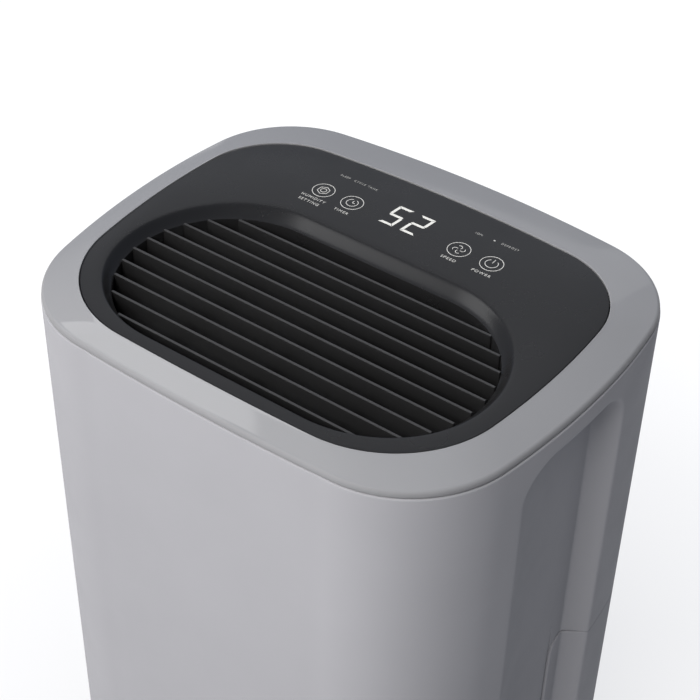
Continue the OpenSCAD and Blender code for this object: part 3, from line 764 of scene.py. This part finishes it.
def bored(obj, places):
    """Cuts round holes along Y through a piece."""
    cutters = []
    for x, z, r in places:
        cutter = turned("cutter", [(r, -60), (r, 60)], along_y(x, 110, z), BODY)
        cutters.append(cutter)
        modifier = obj.modifiers.new("bore", "BOOLEAN")
        modifier.object = cutter
        modifier.solver = "EXACT"
        modifier.operation = "DIFFERENCE"
    bpy.context.view_layer.update()
    graph = bpy.context.evaluated_depsgraph_get()
    mesh = bpy.data.meshes.new_from_object(obj.evaluated_get(graph))
    obj.modifiers.clear()
    old = obj.data
    obj.data = mesh
    bpy.data.meshes.remove(old)
    for cutter in cutters:
        bpy.data.objects.remove(cutter)
    return obj


def cup(name, x, z, r, wall, start, end):
    """A tube that lines a hole in the back cover."""
    profile = [(r, start), (r, end - 0.5), (r + 0.5, end), (r + wall, end), (r + wall, start)]
    return turned(name, profile, along_y(x, 0, z), BODY, ring=True)


def joined(name, pieces):
    """One object from several meshes that sit at the origin."""
    bm = bmesh.new()
    for piece in pieces:
        bm.from_mesh(piece.data)
    mesh = pieces[0].data.copy()
    bm.to_mesh(mesh)
    bm.free()
    mesh.name = name
    obj = bpy.data.objects.new(name, mesh)
    bpy.context.scene.collection.objects.link(obj)
    for piece in pieces:
        bpy.data.objects.remove(piece)
    return obj


def back_surface(x):
    return CABINET.end(1, x)[0]


def rear_cover():
    outer, inner = rear_skin()
    skin = thick_skin("rear_skin", outer, inner, BODY)
    holes = [(DRAIN.x, DRAIN.z, 13.4), (GLAND.x, GLAND.z, 7.4)]
    bored(skin, holes + [(x, z, 4.6) for x, z in SCREW_PLACES])
    pieces = [skin, cup("drain_cup", DRAIN.x, DRAIN.z, 13, 2.5, 104.5, back_surface(DRAIN.x) - 0.9)]
    for x, z in SCREW_PLACES:
        pieces.append(cup("screw_cup", x, z, 4.2, 1.8, 99, back_surface(x) - 2.4))
    return placed(joined("rear_cover_skin", pieces), "cabinet", "shell_grey", "rear_cover")


# ---------- Tank and base ----------

PROUD = 0.93  # the tank fills the channel a little, so its wall stands out of the floor


def back_quarter(inset):
    """Points set in round a back corner to the middle of the back."""
    cx, cy, r = CABINET.corners[1]
    points = []
    for t in eased(math.asin((SPLIT_Y - cy) / r), math.acos((BACK_FLAT - cx) / r), 16)[1:]:
        points.append((cx + (r - inset) * math.cos(t), cy + (r - inset) * math.sin(t)))
    for x in eased(BACK_FLAT, 0, 8)[1:]:
        y, (nx, ny) = CABINET.end(1, x)
        points.append((x - nx * inset, y - ny * inset))
    return points


def both_sides(right):
    """A closed plan from its right half."""
    return right + [(-x, y) for x, y in right[-2:0:-1]]


def plan_half(inset):
    """Right half of the tank's plan from its front edge to the middle of the back."""
    ys = [y for y in INSIDE_YS if y > TANK_FRONT + 2.0]
    ys = eased(TANK_FRONT + TANK_EDGE_R, ys[0], 3)[:-1] + ys
    ys += eased(CHANNEL_BACK, BACK_ZONE, 12, first=2.2)[1:] + eased(BACK_ZONE, SPLIT_Y, 10)[1:]
    points = []
    for y in ys:
        x, (nx, ny) = CABINET.side(y)
        points.append((x - channel_depth(y, 100) * PROUD - nx * inset, y - ny * inset))
    return points + back_quarter(inset)


def tank_plan(inset):
    """Closed plan of the tank set in from its walls, with rounded front edges."""
    r = TANK_EDGE_R
    front_y = TANK_FRONT + inset
    side = plan_half(inset)
    corner_x = side[0][0]
    corner = []
    for i in range(7):
        t = math.pi / 2 * i / 6
        corner.append((corner_x - r * (1 - math.sin(t)), front_y + r * (1 - math.cos(t))))
    front = [(corner[0][0] * k / 10, front_y) for k in range(10)]
    return both_sides(front + corner[:-1] + [(corner_x, side[0][1])] + side[1:])


def nose_height(y, level):
    """Height of a level of the tank's wall, lowered round its nose."""
    back = TANK_FRONT + TANK_NOSE - y
    if back <= 0:
        return level
    return level - TANK_NOSE + math.sqrt(max(0, TANK_NOSE ** 2 - min(back, TANK_NOSE) ** 2))


def tank_body():
    bottom = TANK_LOW.z
    loops = []
    for inset, up in ((1.2, 0), (0.35, 0.3), (0, 1.2)):
        loops.append(at_z(tank_plan(inset), bottom + up))
    for z in (100, 170, 205):
        loops.append(at_z(tank_plan(0), z))
    for inset, down in ((0, 1.2), (0.06, 0.75), (0.25, 0.35), (0.6, 0.08), (1.1, 0)):
        plan = tank_plan(inset)
        loops.append([(x, y, nose_height(y, TANK_TOP) - down) for x, y in plan])
    rim = tank_plan(1.1)
    opening = [(x, max(y, TANK_FRONT + 12)) for x, y in tank_plan(2.5)]
    for t in (0.1, 0.25, 0.4, 0.6, 0.8, 0.93, 1.0):
        plan = mixed(rim, opening, t)
        loops.append([(x, y, nose_height(y, TANK_TOP)) for x, y in plan])
    cavity = tank_plan(2.5)
    loops.append([(x, y, nose_height(y, TANK_TOP) - 2.5) for x, y in opening])
    loops.append([(x, y, nose_height(y, TANK_TOP - 2.5) - 1) for x, y in cavity])
    loops.append(at_z(cavity, bottom + 4.5))
    loops.append(at_z(tank_plan(4), bottom + 2.5))
    tank = lofted("tank_body", loops, BODY, caps=True, crease=42)
    return placed(tank, "tank", "shell_grey", "water_tank")


def base_plan(inset):
    """Closed plan of the base skirt, which follows the channels."""
    right = []
    for column in front_quarter_columns():
        (x, y), (nx, ny) = column(0)
        right.append((x - nx * inset, y - ny * inset))
    ys = eased(FRONT_ZONE, CHANNEL_FRONT, 8)[:-1] + INSIDE_YS
    ys += eased(CHANNEL_BACK, BACK_ZONE, 8)[1:] + eased(BACK_ZONE, SPLIT_Y, 8)[1:]
    for y in ys:
        x, (nx, ny) = CABINET.side(y)
        depth = channel_depth(y, 30) if FRONT_ZONE < y < BACK_ZONE else 0
        right.append((x - depth - nx * inset, y - ny * inset))
    return both_sides(right + back_quarter(inset))


def base_skirt():
    """The base's skirt and floor plate as one closed pan."""
    low, high = box_mm("base_pan")
    top = high.z
    bottom = low.z
    section = [(2.9, top - 4), (2.9, bottom + 0.6), (2.5, bottom + 0.1), (1.6, bottom), (0.8, bottom + 0.1),
               (0.5, bottom + 0.5), (0.4, bottom + 1), (0.4, top - 0.6), (0.6, top - 0.15), (1.0, top)]
    plate = base_plan(8)
    rims = [at_z(base_plan(inset), z) for inset, z in section]
    loops = [at_z(plate, top - 4)] + rims + [at_z(plate, top)]
    pan = lofted("base_skirt", loops, DARK, caps=True)
    return placed(pan, "cabinet", "base_dark", "base_pan")


# ---------- Top ----------

RING_SQUEEZE = 0.996


def ring_plan(inset):
    """Outline of the ring, drawn in a little at the sides."""
    return [(x * RING_SQUEEZE, y) for x, y in CABINET.loop(inset)]


def frame_ring():
    """The crowned ring: band, rounded edge, rise to the deck, and its tongue inside the shell."""
    inner = DECK.loop(-0.55)
    edge_r = 2.8
    low = FRAME_BOTTOM - 0.25 + SEAM_LIFT
    loops = []
    for inset, up in ((0.7, 0), (0.3, 0.05), (0.1, 0.2), (0, 0.5), (0, FRAME_TOP - edge_r - low)):
        loops.append(at_z(ring_plan(inset), low + up))
    for i in range(1, 11):
        t = math.radians(75) * i / 10
        start = ring_plan(edge_r * (1 - math.cos(t)))
        start_z = FRAME_TOP - edge_r * (1 - math.sin(t))
        loops.append(at_z(start, start_z))
    peak = FRAME_TOP + CROWN
    for t in (0.03, 0.08, 0.16, 0.28, 0.42, 0.56, 0.7, 0.84, 0.94):
        rise = (1 - (1 - t) ** 1.06) * (peak - start_z)
        loops.append(at_z(mixed(start, inner, t), start_z + rise))
    loops.append(at_z(DECK.loop(-0.85), peak - 0.02))
    loops.append(at_z(DECK.loop(-0.62), peak - 0.15))
    loops.append(at_z(inner, peak - 0.5))
    loops.append(at_z(inner, peak - 4))
    tongue = FRAME_BOTTOM - 7
    for inset, z in ((5.0, FRAME_BOTTOM + 1), (4.8, tongue), (2.9, tongue), (2.9, low)):
        loops.append(at_z(ring_plan(inset), z))
    ring = lofted("frame_ring", loops, RING, closed_section=True)
    ring.data.materials.append(RING_EDGE)
    for face in ring.data.polygons:
        if face.center.z < (FRAME_TOP - 0.3) * MM:
            face.material_index = 1
    return placed(ring, "cabinet", "frame_grey", "top_frame")


def pill(grow, back_grow=None, front_grow=None):
    """The outlet's outline grown by an amount, with more or less at the back and front."""
    n = LOOP_STEPS[0] + LOOP_STEPS[1]
    c = OUTLET_HALF - OUTLET_R
    back_grow = grow if back_grow is None else back_grow
    front_grow = grow if front_grow is None else front_grow
    quarters = {}
    for back, end_grow in ((1, back_grow), (-1, front_grow)):
        points = []
        for i in range(n + 1):
            t = math.pi / 2 * i / n
            reach = OUTLET_R + grow
            y = reach * math.sin(t) + (end_grow - grow) * math.sin(t) ** 2
            points.append((c + reach * math.cos(t), OUTLET_Y + back * y))
        for i in range(1, LOOP_STEPS[2] + 1):
            points.append((c * (1 - i / LOOP_STEPS[2]), OUTLET_Y + back * (OUTLET_R + end_grow)))
        quarters[back] = points
    return closed(quarters[1], quarters[-1])


# The bowl's section: how far out from the opening (side, back, front) and how deep
BOWL_SECTION = (
    (7.6, 12.6, 4.8, 0.0), (6.6, 10.9, 4.1, 0.04), (5.8, 9.4, 3.5, 0.16), (5.2, 8.2, 3.1, 0.4),
    (4.7, 7.3, 2.75, 0.8), (4.2, 6.5, 2.45, 1.35), (3.6, 5.6, 2.1, 2.1), (2.9, 4.5, 1.7, 3.0),
    (2.2, 3.4, 1.25, 3.9), (1.4, 2.2, 0.8, 4.8), (0.6, 1.0, 0.35, 5.6), (0.0, 0.0, 0.0, 6.0),
)


def deck_panel():
    """The control deck with its rounded edge and the bowl's wall."""
    loops = []
    for inset, down in ((0, 2.6), (0, 0.35), (0.12, 0.1), (0.4, 0)):
        loops.append(at_z(DECK.loop(inset), DECK_TOP - down))
    for side, back, front, deep in BOWL_SECTION:
        loops.append(at_z(pill(side, back, front), DECK_TOP - deep))
    loops.append(at_z(pill(-0.15), GRILLE_TOP - 0.5))
    loops.append(at_z(pill(-0.15), GRILLE_TOP - 9))
    loops.append(at_z(pill(2.0), GRILLE_TOP - 9))
    loops.append(at_z(pill(2.4, 4, 2.2), GRILLE_TOP - 2.6))
    panel = lofted("deck_panel", loops, PANEL, closed_section=True)
    return placed(panel, "cabinet", "deck_black", "control_deck", "display_window")


BLADES = 10
BLADE_PITCH = 11.2
BLADE_T = 1.8
FIRST_BLADE = 9.8
BLADE_CROWN = 1.8


def outlet_blades():
    """Blades across the outlet and their cross ribs."""
    bm = bmesh.new()
    bottom = box_mm("outlet_grille")[0].z
    c = OUTLET_HALF - OUTLET_R
    for i in range(BLADES):
        y = FIRST_BLADE - BLADE_PITCH * i
        half = c + math.sqrt(OUTLET_R ** 2 - (y - OUTLET_Y) ** 2) - 0.3
        off_middle = (i - (BLADES - 1) / 2) / ((BLADES - 1) / 2)
        top = GRILLE_TOP + BLADE_CROWN * (1 - off_middle ** 2)
        size = (2 * half, BLADE_T, top - bottom)
        rounded_box(bm, (0, y, (top + bottom) / 2), size, r=0.45, segments=3)
    for x in (-OUTLET_HALF / 2, 0, OUTLET_HALF / 2):
        reach = OUTLET_R - 1 if abs(x) < c else OUTLET_R - 3
        rounded_box(bm, (x, OUTLET_Y, bottom + 2.6), (2.2, 2 * reach, 5), r=0.4)
    grille = from_bmesh("outlet_blades", bm, BLADE)
    grille.data.materials.append(BLADE_TOP_HIGHLIGHT)
    # Upward faces near the top take the lighter copy: painted highlight on the blade tops.
    for face in grille.data.polygons:
        if face.normal.z > 0.9 and face.center.z > (GRILLE_TOP - 1) * MM:
            face.material_index = 1
    return placed(grille, "cabinet", "deck_black", "outlet_grille")


# ---------- Marks on the deck ----------

MARK_BOTTOM = DECK_TOP - 0.1
MARK_TOP = DECK_TOP + 0.09


def prism(name, outlines, material):
    """Flat marks standing a hair above the deck."""
    verts = []
    faces = []
    for points in outlines:
        n = len(points)
        base = len(verts)
        verts += at_z(points, MARK_BOTTOM) + at_z(points, MARK_TOP)
        faces.append([base + i for i in reversed(range(n))])
        faces.append([base + n + i for i in range(n)])
        for i in range(n):
            h = (i + 1) % n
            faces.append([base + i, base + h, base + n + h, base + n + i])
    return mesh_object(name, verts, faces, material, 20)


def stroke(points, width):
    """The outline of an open line drawn with a given width."""
    left = []
    right = []
    for i, (x, y) in enumerate(points):
        ax, ay = points[max(i - 1, 0)]
        bx, by = points[min(i + 1, len(points) - 1)]
        size = math.hypot(bx - ax, by - ay)
        nx, ny = -(by - ay) / size * width / 2, (bx - ax) / size * width / 2
        left.append((x + nx, y + ny))
        right.append((x - nx, y - ny))
    return left + right[::-1]


def arc(cx, cy, r, start, end, count=24):
    """Points of an arc between two angles in degrees."""
    return [(cx + r * math.cos(math.radians(start + (end - start) * i / count)),
             cy + r * math.sin(math.radians(start + (end - start) * i / count)))
            for i in range(count + 1)]


def ring_strokes(cx, cy, r, width):
    """A full ring as two half strokes."""
    return [stroke(arc(cx, cy, r, 0, 180, 32), width), stroke(arc(cx, cy, r, 180, 360, 32), width)]


SEGMENTS = {"5": "afgcd", "2": "abged"}
DIGIT_HEIGHT = 18.6
DIGIT_WIDTH = 9.3
DIGIT_SLANT = 0.1
DIGITS_Y = 57.9
DIGIT_BAR = 1.65
DIGIT_GAP = 0.22
DIGITS = (("5", -17.0), ("2", -2.9))


def digit(char, x0, y0):
    """Lit bars of a slanted seven-segment digit, mitred where they meet."""
    t = DIGIT_BAR
    w = DIGIT_WIDTH
    h = DIGIT_HEIGHT
    g = DIGIT_GAP
    m = h / 2
    e = t / 2
    bars = {
        "a": [(g, h), (w - g, h), (w - t - g, h - t), (t + g, h - t)],
        "d": [(g, 0), (t + g, t), (w - t - g, t), (w - g, 0)],
        "g": [(g, m), (e + g, m + e), (w - e - g, m + e), (w - g, m), (w - e - g, m - e),
              (e + g, m - e)],
        "f": [(0, h - g), (t, h - t - g), (t, m + e + g), (e, m + g), (0, m + e + g)],
        "e": [(0, g), (0, m - e - g), (e, m - g), (t, m - e - g), (t, t + g)],
        "b": [(w, h - g), (w, m + e + g), (w - e, m + g), (w - t, m + e + g), (w - t, h - t - g)],
        "c": [(w, g), (w - t, t + g), (w - t, m - e - g), (w - e, m - g), (w, m - e - g)],
    }
    return [[(x0 + x + DIGIT_SLANT * y, y0 + y) for x, y in bars[name]] for name in SEGMENTS[char]]


def display_digits():
    low = DIGITS_Y - DIGIT_HEIGHT / 2
    bars = [bar for char, x in DIGITS for bar in digit(char, x, low)]
    return placed(prism("display_digits", bars, LED), "cabinet", "mark_white")


KEY_Y = 53.3
KEY_R = 6.3
KEY_LINE = 0.33


def humidity_glyph(x, y):
    """A six-sided cell with a ring inside."""
    cell = arc(x, y, 3.6, 30, 390, 6)
    walls = [stroke(cell[i:i + 2], KEY_LINE) for i in range(6)]
    return walls + ring_strokes(x, y, 1.7, KEY_LINE)


def timer_glyph(x, y):
    hands = [stroke([(x, y + 2.1), (x, y)], KEY_LINE), stroke([(x, y), (x + 1.7, y)], KEY_LINE)]
    return [stroke(arc(x, y, 3.3, 110, 430, 30), KEY_LINE)] + hands


def speed_glyph(x, y):
    """Four curved blades, clear of one another."""
    blades = []
    for k in range(4):
        a = 90 * k + 20
        cx = x + 2.0 * math.cos(math.radians(a))
        cy = y + 2.0 * math.sin(math.radians(a))
        blades.append(stroke(arc(cx, cy, 1.45, a - 150, a + 30, 16), KEY_LINE))
    return blades


def power_glyph(x, y):
    stem = stroke([(x, y + 4.0), (x, y + 0.6)], KEY_LINE)
    return [stroke(arc(x, y, 3.5, 125, 415, 32), KEY_LINE), stem]


KEYS = ((-57.1, humidity_glyph, ("HUMIDITY", "SETTING")), (-37.6, timer_glyph, ("TIMER",)),
        (32.2, speed_glyph, ("SPEED",)), (52.6, power_glyph, ("POWER",)))


def key_marks():
    outlines = []
    for x, glyph, _ in KEYS:
        outlines += ring_strokes(x, KEY_Y, KEY_R, KEY_LINE)
        outlines += glyph(x, KEY_Y)
    return placed(prism("key_marks", outlines, MARK), "cabinet", "mark_white", "touch_keys")


LABEL_SIZE = 2.9
LAMP_SIZE = 2.2


def label(words, x, y, size, material):
    """Flat lettering centred on a place, one line per word."""
    curve = bpy.data.curves.new("label", "FONT")
    curve.body = "\n".join(words)
    curve.align_x = "CENTER"
    curve.align_y = "CENTER"
    curve.size = size * MM
    curve.space_line = 1.4
    curve.space_character = 1.25
    curve.extrude = 0.04 * MM
    curve.offset = -0.02 * MM
    obj = bpy.data.objects.new("label", curve)
    bpy.context.scene.collection.objects.link(obj)
    obj.location = Vector((x, y, DECK_TOP + 0.03)) * MM
    bpy.context.view_layer.update()
    graph = bpy.context.evaluated_depsgraph_get()
    mesh = bpy.data.meshes.new_from_object(obj.evaluated_get(graph))
    mesh.transform(obj.matrix_world)
    bpy.data.objects.remove(obj)
    return finished("label", mesh, material, 20)


def key_labels():
    pieces = []
    for x, _, words in KEYS:
        y = KEY_Y - 10.2 - (1.2 if len(words) > 1 else 0)
        pieces.append(label(words, x, y, LABEL_SIZE, MARK))
    return placed(joined("key_labels", pieces), "cabinet", "mark_white")


LAMP_Y = 71.6
LAMPS = ((-55.8, "SLEEP"), (-45.8, "CYCLE"), (-37.2, "TANK"), (32.8, "ION"), (52.2, "DEFROST"))


def lamp_marks():
    """Small words that show the running mode, and one dot."""
    pieces = [label((word,), x, LAMP_Y, LAMP_SIZE, FAINT) for x, word in LAMPS]
    pieces.append(prism("dot", [stroke([(42.0, LAMP_Y), (43.1, LAMP_Y)], 1.0)], FAINT))
    return placed(joined("lamp_marks", pieces), "cabinet", "mark_white")


# ---------- Back pieces ----------

INTAKE_BARS = 16


def intake_bars():
    """The intake grille: a frame, level bars and three stiles, all rounded."""
    low, high = box_mm("intake_grille")
    y = (low.y + high.y) / 2
    z = (low.z + high.z) / 2
    w = high.x - low.x
    h = high.z - low.z
    t = high.y - low.y
    bm = bmesh.new()
    for side in (-1, 1):
        rounded_box(bm, (side * (w / 2 - 4), y, z), (8, t, h), 0.7, 3)
        rounded_box(bm, (0, y, z + side * (h / 2 - 4)), (w - 14, t, 8), 0.7, 3)
    for i in range(INTAKE_BARS):
        at = z + (i - (INTAKE_BARS - 1) / 2) * (h - 14) / INTAKE_BARS
        rounded_box(bm, (0, y, at), (w - 15, t - 0.2, 3.4), 0.8, 3)
    for x in (-w / 4, 0, w / 4):
        rounded_box(bm, (x, y - 0.3, z), (3, t - 0.8, h - 15), 0.5, 2)
    return placed(from_bmesh("intake_bars", bm, BODY), "filter", "shell_grey", "intake_grille")


def filter_net():
    """Woven net of fine strands."""
    low, high = box_mm("filter_mesh")
    y = (low.y + high.y) / 2
    pitch = 2.6
    bm = bmesh.new()
    across = int((high.x - low.x) / pitch)
    for i in range(across + 1):
        x = low.x + (high.x - low.x) * i / across
        rounded_box(bm, (x, y + 0.12, (low.z + high.z) / 2), (0.5, 0.4, high.z - low.z), 0.1, 1)
    rows = int((high.z - low.z) / pitch)
    for i in range(rows + 1):
        z = low.z + (high.z - low.z) * i / rows
        rounded_box(bm, (0, y - 0.12, z), (high.x - low.x, 0.4, 0.5), 0.1, 1)
    return placed(from_bmesh("filter_net", bm, NET), "filter", "mesh_grey", "filter_mesh")


def gland_ring():
    """Rubber gland with a rounded lip and a groove."""
    low, high = box_mm("cord_gland")
    start = low.y
    end = high.y
    r = (high.x - low.x) / 2
    profile = [(4, start), (4, end - 1.2), (4.4, end - 0.4), (5.1, end), (6.2, end), (6.8, end - 0.5),
               (7, end - 1.2), (7, end - 2.2), (6.5, end - 2.5), (6.5, end - 3.1), (7, end - 3.4),
               (7, start + 3), (r, start + 3), (r, start)]
    ring = turned("gland_ring", profile, along_y(GLAND.x, 0, GLAND.z), RUBBER, ring=True)
    return placed(ring, "cabinet", "rubber_black", "cord_gland")


def stopper_cap():
    """Drain stopper: a plug with a chamfered tip and a dished cap."""
    low, high = box_mm("drain_stopper")
    plug_r = 5.4
    end = high.y
    cap = end - 2.5
    profile = [(plug_r - 0.6, low.y), (plug_r, low.y + 0.8), (plug_r, cap), (6.9, cap), (7.2, cap + 0.3),
               (7.2, end - 0.6), (6.7, end - 0.1), (6.2, end), (4.6, end), (4.2, end - 0.7),
               (1.0, end - 0.8)]
    plug = turned("stopper_cap", profile, along_y(DRAIN.x, 0, DRAIN.z), RUBBER)
    return placed(plug, "stopper", "rubber_black", "drain_stopper")


CASTERS = ("fl", "fr", "bl", "br")


def caster_wheel(name):
    """A wheel with a rounded tread and a dished hub."""
    low, high = box_mm("caster_wheel_" + name)
    r = (high.z - low.z) / 2
    half = (high.x - low.x) / 2
    centre = (low + high) / 2
    bore = 2.1
    side = [(bore, half - 0.6), (3.4, half - 0.6), (3.7, half - 1.4), (6.6, half - 1.4), (7.1, half),
            (r - 1.6, half), (r - 0.7, half - 0.3), (r - 0.15, half - 1.1), (r, half - 2.2)]
    profile = side + [(a, -b) for a, b in reversed(side)]
    wheel = turned("wheel_" + name, profile, along_x(centre.x, centre.y, centre.z), RUBBER, ring=True)
    return placed(wheel, "wheel_" + name, "caster_black", "caster_wheel_" + name)


# ---------- Carried-over CAD nodes ----------

NODE_FINISH = (
    (BOARD, "control_board"),
    (BLACK, "digit_module terminal_cover caster_fork_fl caster_fork_fr caster_fork_bl caster_fork_br"),
    (BRASS, "touch_springs"),
    (DARK, "filter_frame fan_wheel"),
    (INNER, "tank_lid bulkhead drip_tray fan_scroll inlet_ring outlet_duct run_capacitor"),
    (WHITE, "tank_float reed_switch humidity_sensor"),
    (STEEL, "float_magnet float_pin fan_shaft cover_screws base_screws deck_screws"),
    (ALUMINIUM, "evaporator condenser"),
    (COPPER, "coil_pipes suction_pipe discharge_pipe"),
    (ENAMEL, "compressor accumulator"),
    (RUBBER, "compressor_feet"),
    (GALVANISED, "fan_motor power_box"),
)


def finish_nodes():
    """Gives every CAD node that still shows its procedural material."""
    for material, names in NODE_FINISH:
        for name in names.split():
            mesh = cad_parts[name].data
            if not mesh.materials:
                mesh.materials.append(material)
            for k in range(len(mesh.materials)):
                mesh.materials[k] = material


# ---------- Stage ----------

def camera():
    """An 85 mm lens in front, to the right and above, 0.85 m from the middle of the deck."""
    azimuth = math.radians(35.915)
    elevation = math.radians(39.191)
    roll = math.radians(1.428)
    back = Vector((math.sin(azimuth) * math.cos(elevation), -math.cos(azimuth) * math.cos(elevation),
                   math.sin(elevation)))
    right = (-back).cross(Vector((0, 0, 1))).normalized()
    up = right.cross(-back)
    turned_right = math.cos(roll) * right + math.sin(roll) * up
    turned_up = -math.sin(roll) * right + math.cos(roll) * up
    data = bpy.data.cameras.new("camera")
    data.lens = 85.05
    data.sensor_width = 36
    data.clip_start = 0.05
    obj = bpy.data.objects.new("camera", data)
    bpy.context.scene.collection.objects.link(obj)
    place = Matrix((turned_right, turned_up, back)).transposed().to_4x4()
    place.translation = (0.40071, -0.5505, 0.94519)
    obj.matrix_world = place
    bpy.context.scene.camera = obj


def softbox(name, location, target, size, power, colour=(1, 1, 1), glossy=True):
    data = bpy.data.lights.new(name, "AREA")
    data.shape = "RECTANGLE"
    data.size, data.size_y = size
    data.energy = power
    data.color = colour
    obj = bpy.data.objects.new(name, data)
    bpy.context.scene.collection.objects.link(obj)
    obj.location = location
    obj.rotation_euler = (Vector(target) - Vector(location)).to_track_quat("-Z", "Y").to_euler()
    obj.visible_glossy = glossy


def floor():
    """Pale paper that glows a little, with painted shade: the glow is dimmer round the cabinet's foot."""
    mesh = bpy.data.meshes.new("floor")
    half = 12
    corners = [(-half, -half, 0), (half, -half, 0), (half, half, 0), (-half, half, 0)]
    mesh.from_pydata(corners, [], [(0, 1, 2, 3)])
    recipe = Recipe("floor_paper", (0.09, 0.09, 0.092), 0.9)
    gradient = recipe.nodes.new("ShaderNodeTexGradient")
    gradient.gradient_type = "SPHERICAL"
    recipe.links.new(recipe.coordinates.outputs["Object"], gradient.inputs["Vector"])
    # Near the middle the glow drops from 0.88 to 0.68: painted shade round the cabinet's foot.
    stops = [(0.25, (0.88, 0.885, 0.9)), (0.85, (0.68, 0.685, 0.7))]
    glow = recipe.ramp(gradient.outputs["Fac"], stops)
    recipe.links.new(glow, recipe.shader.inputs["Emission Color"])
    recipe.set(Emission_Strength=1.0)
    mesh.materials.append(recipe.material)
    obj = bpy.data.objects.new("floor", mesh)
    bpy.context.scene.collection.objects.link(obj)


def lights():
    world = bpy.data.worlds.new("world")
    bpy.context.scene.world = world
    world.use_nodes = True
    background = world.node_tree.nodes["Background"]
    background.inputs["Color"].default_value = (0.75, 0.88, 1.15, 1)
    background.inputs["Strength"].default_value = 0.15
    warm = (1, 0.97, 0.92)
    softbox("key_left", (-1.85, -2.37, 1.6), (0, 0, 0.3), (2.0, 2.0), 152, warm, glossy=False)
    softbox("key_front", (0.28, -1.8, 2.15), (0, 0, 0.35), (1.2, 1.2), 116, warm, glossy=False)
    softbox("overhead", (-0.4, 0.6, 2.0), (0, 0, 0.2), (1.2, 1.2), 46, glossy=False)
    softbox("ring_box", (-1.73, -1.17, 2.03), (-1.73, -1.17, 0), (1.66, 1.72), 18.5)
    softbox("backdrop", (-2.0, 2.7, 3.3), (0, 0, 0.4), (4.6, 4.6), 20)


bpy.context.scene.view_settings.view_transform = "Standard"
camera()
floor()
lights()
cabinet_shell()
rear_cover()
tank_body()
base_skirt()
frame_ring()
deck_panel()
outlet_blades()
display_digits()
key_marks()
key_labels()
lamp_marks()
intake_bars()
filter_net()
gland_ring()
stopper_cap()
for caster in CASTERS:
    caster_wheel(caster)
finish_nodes()

bpy.context.view_layer.update()
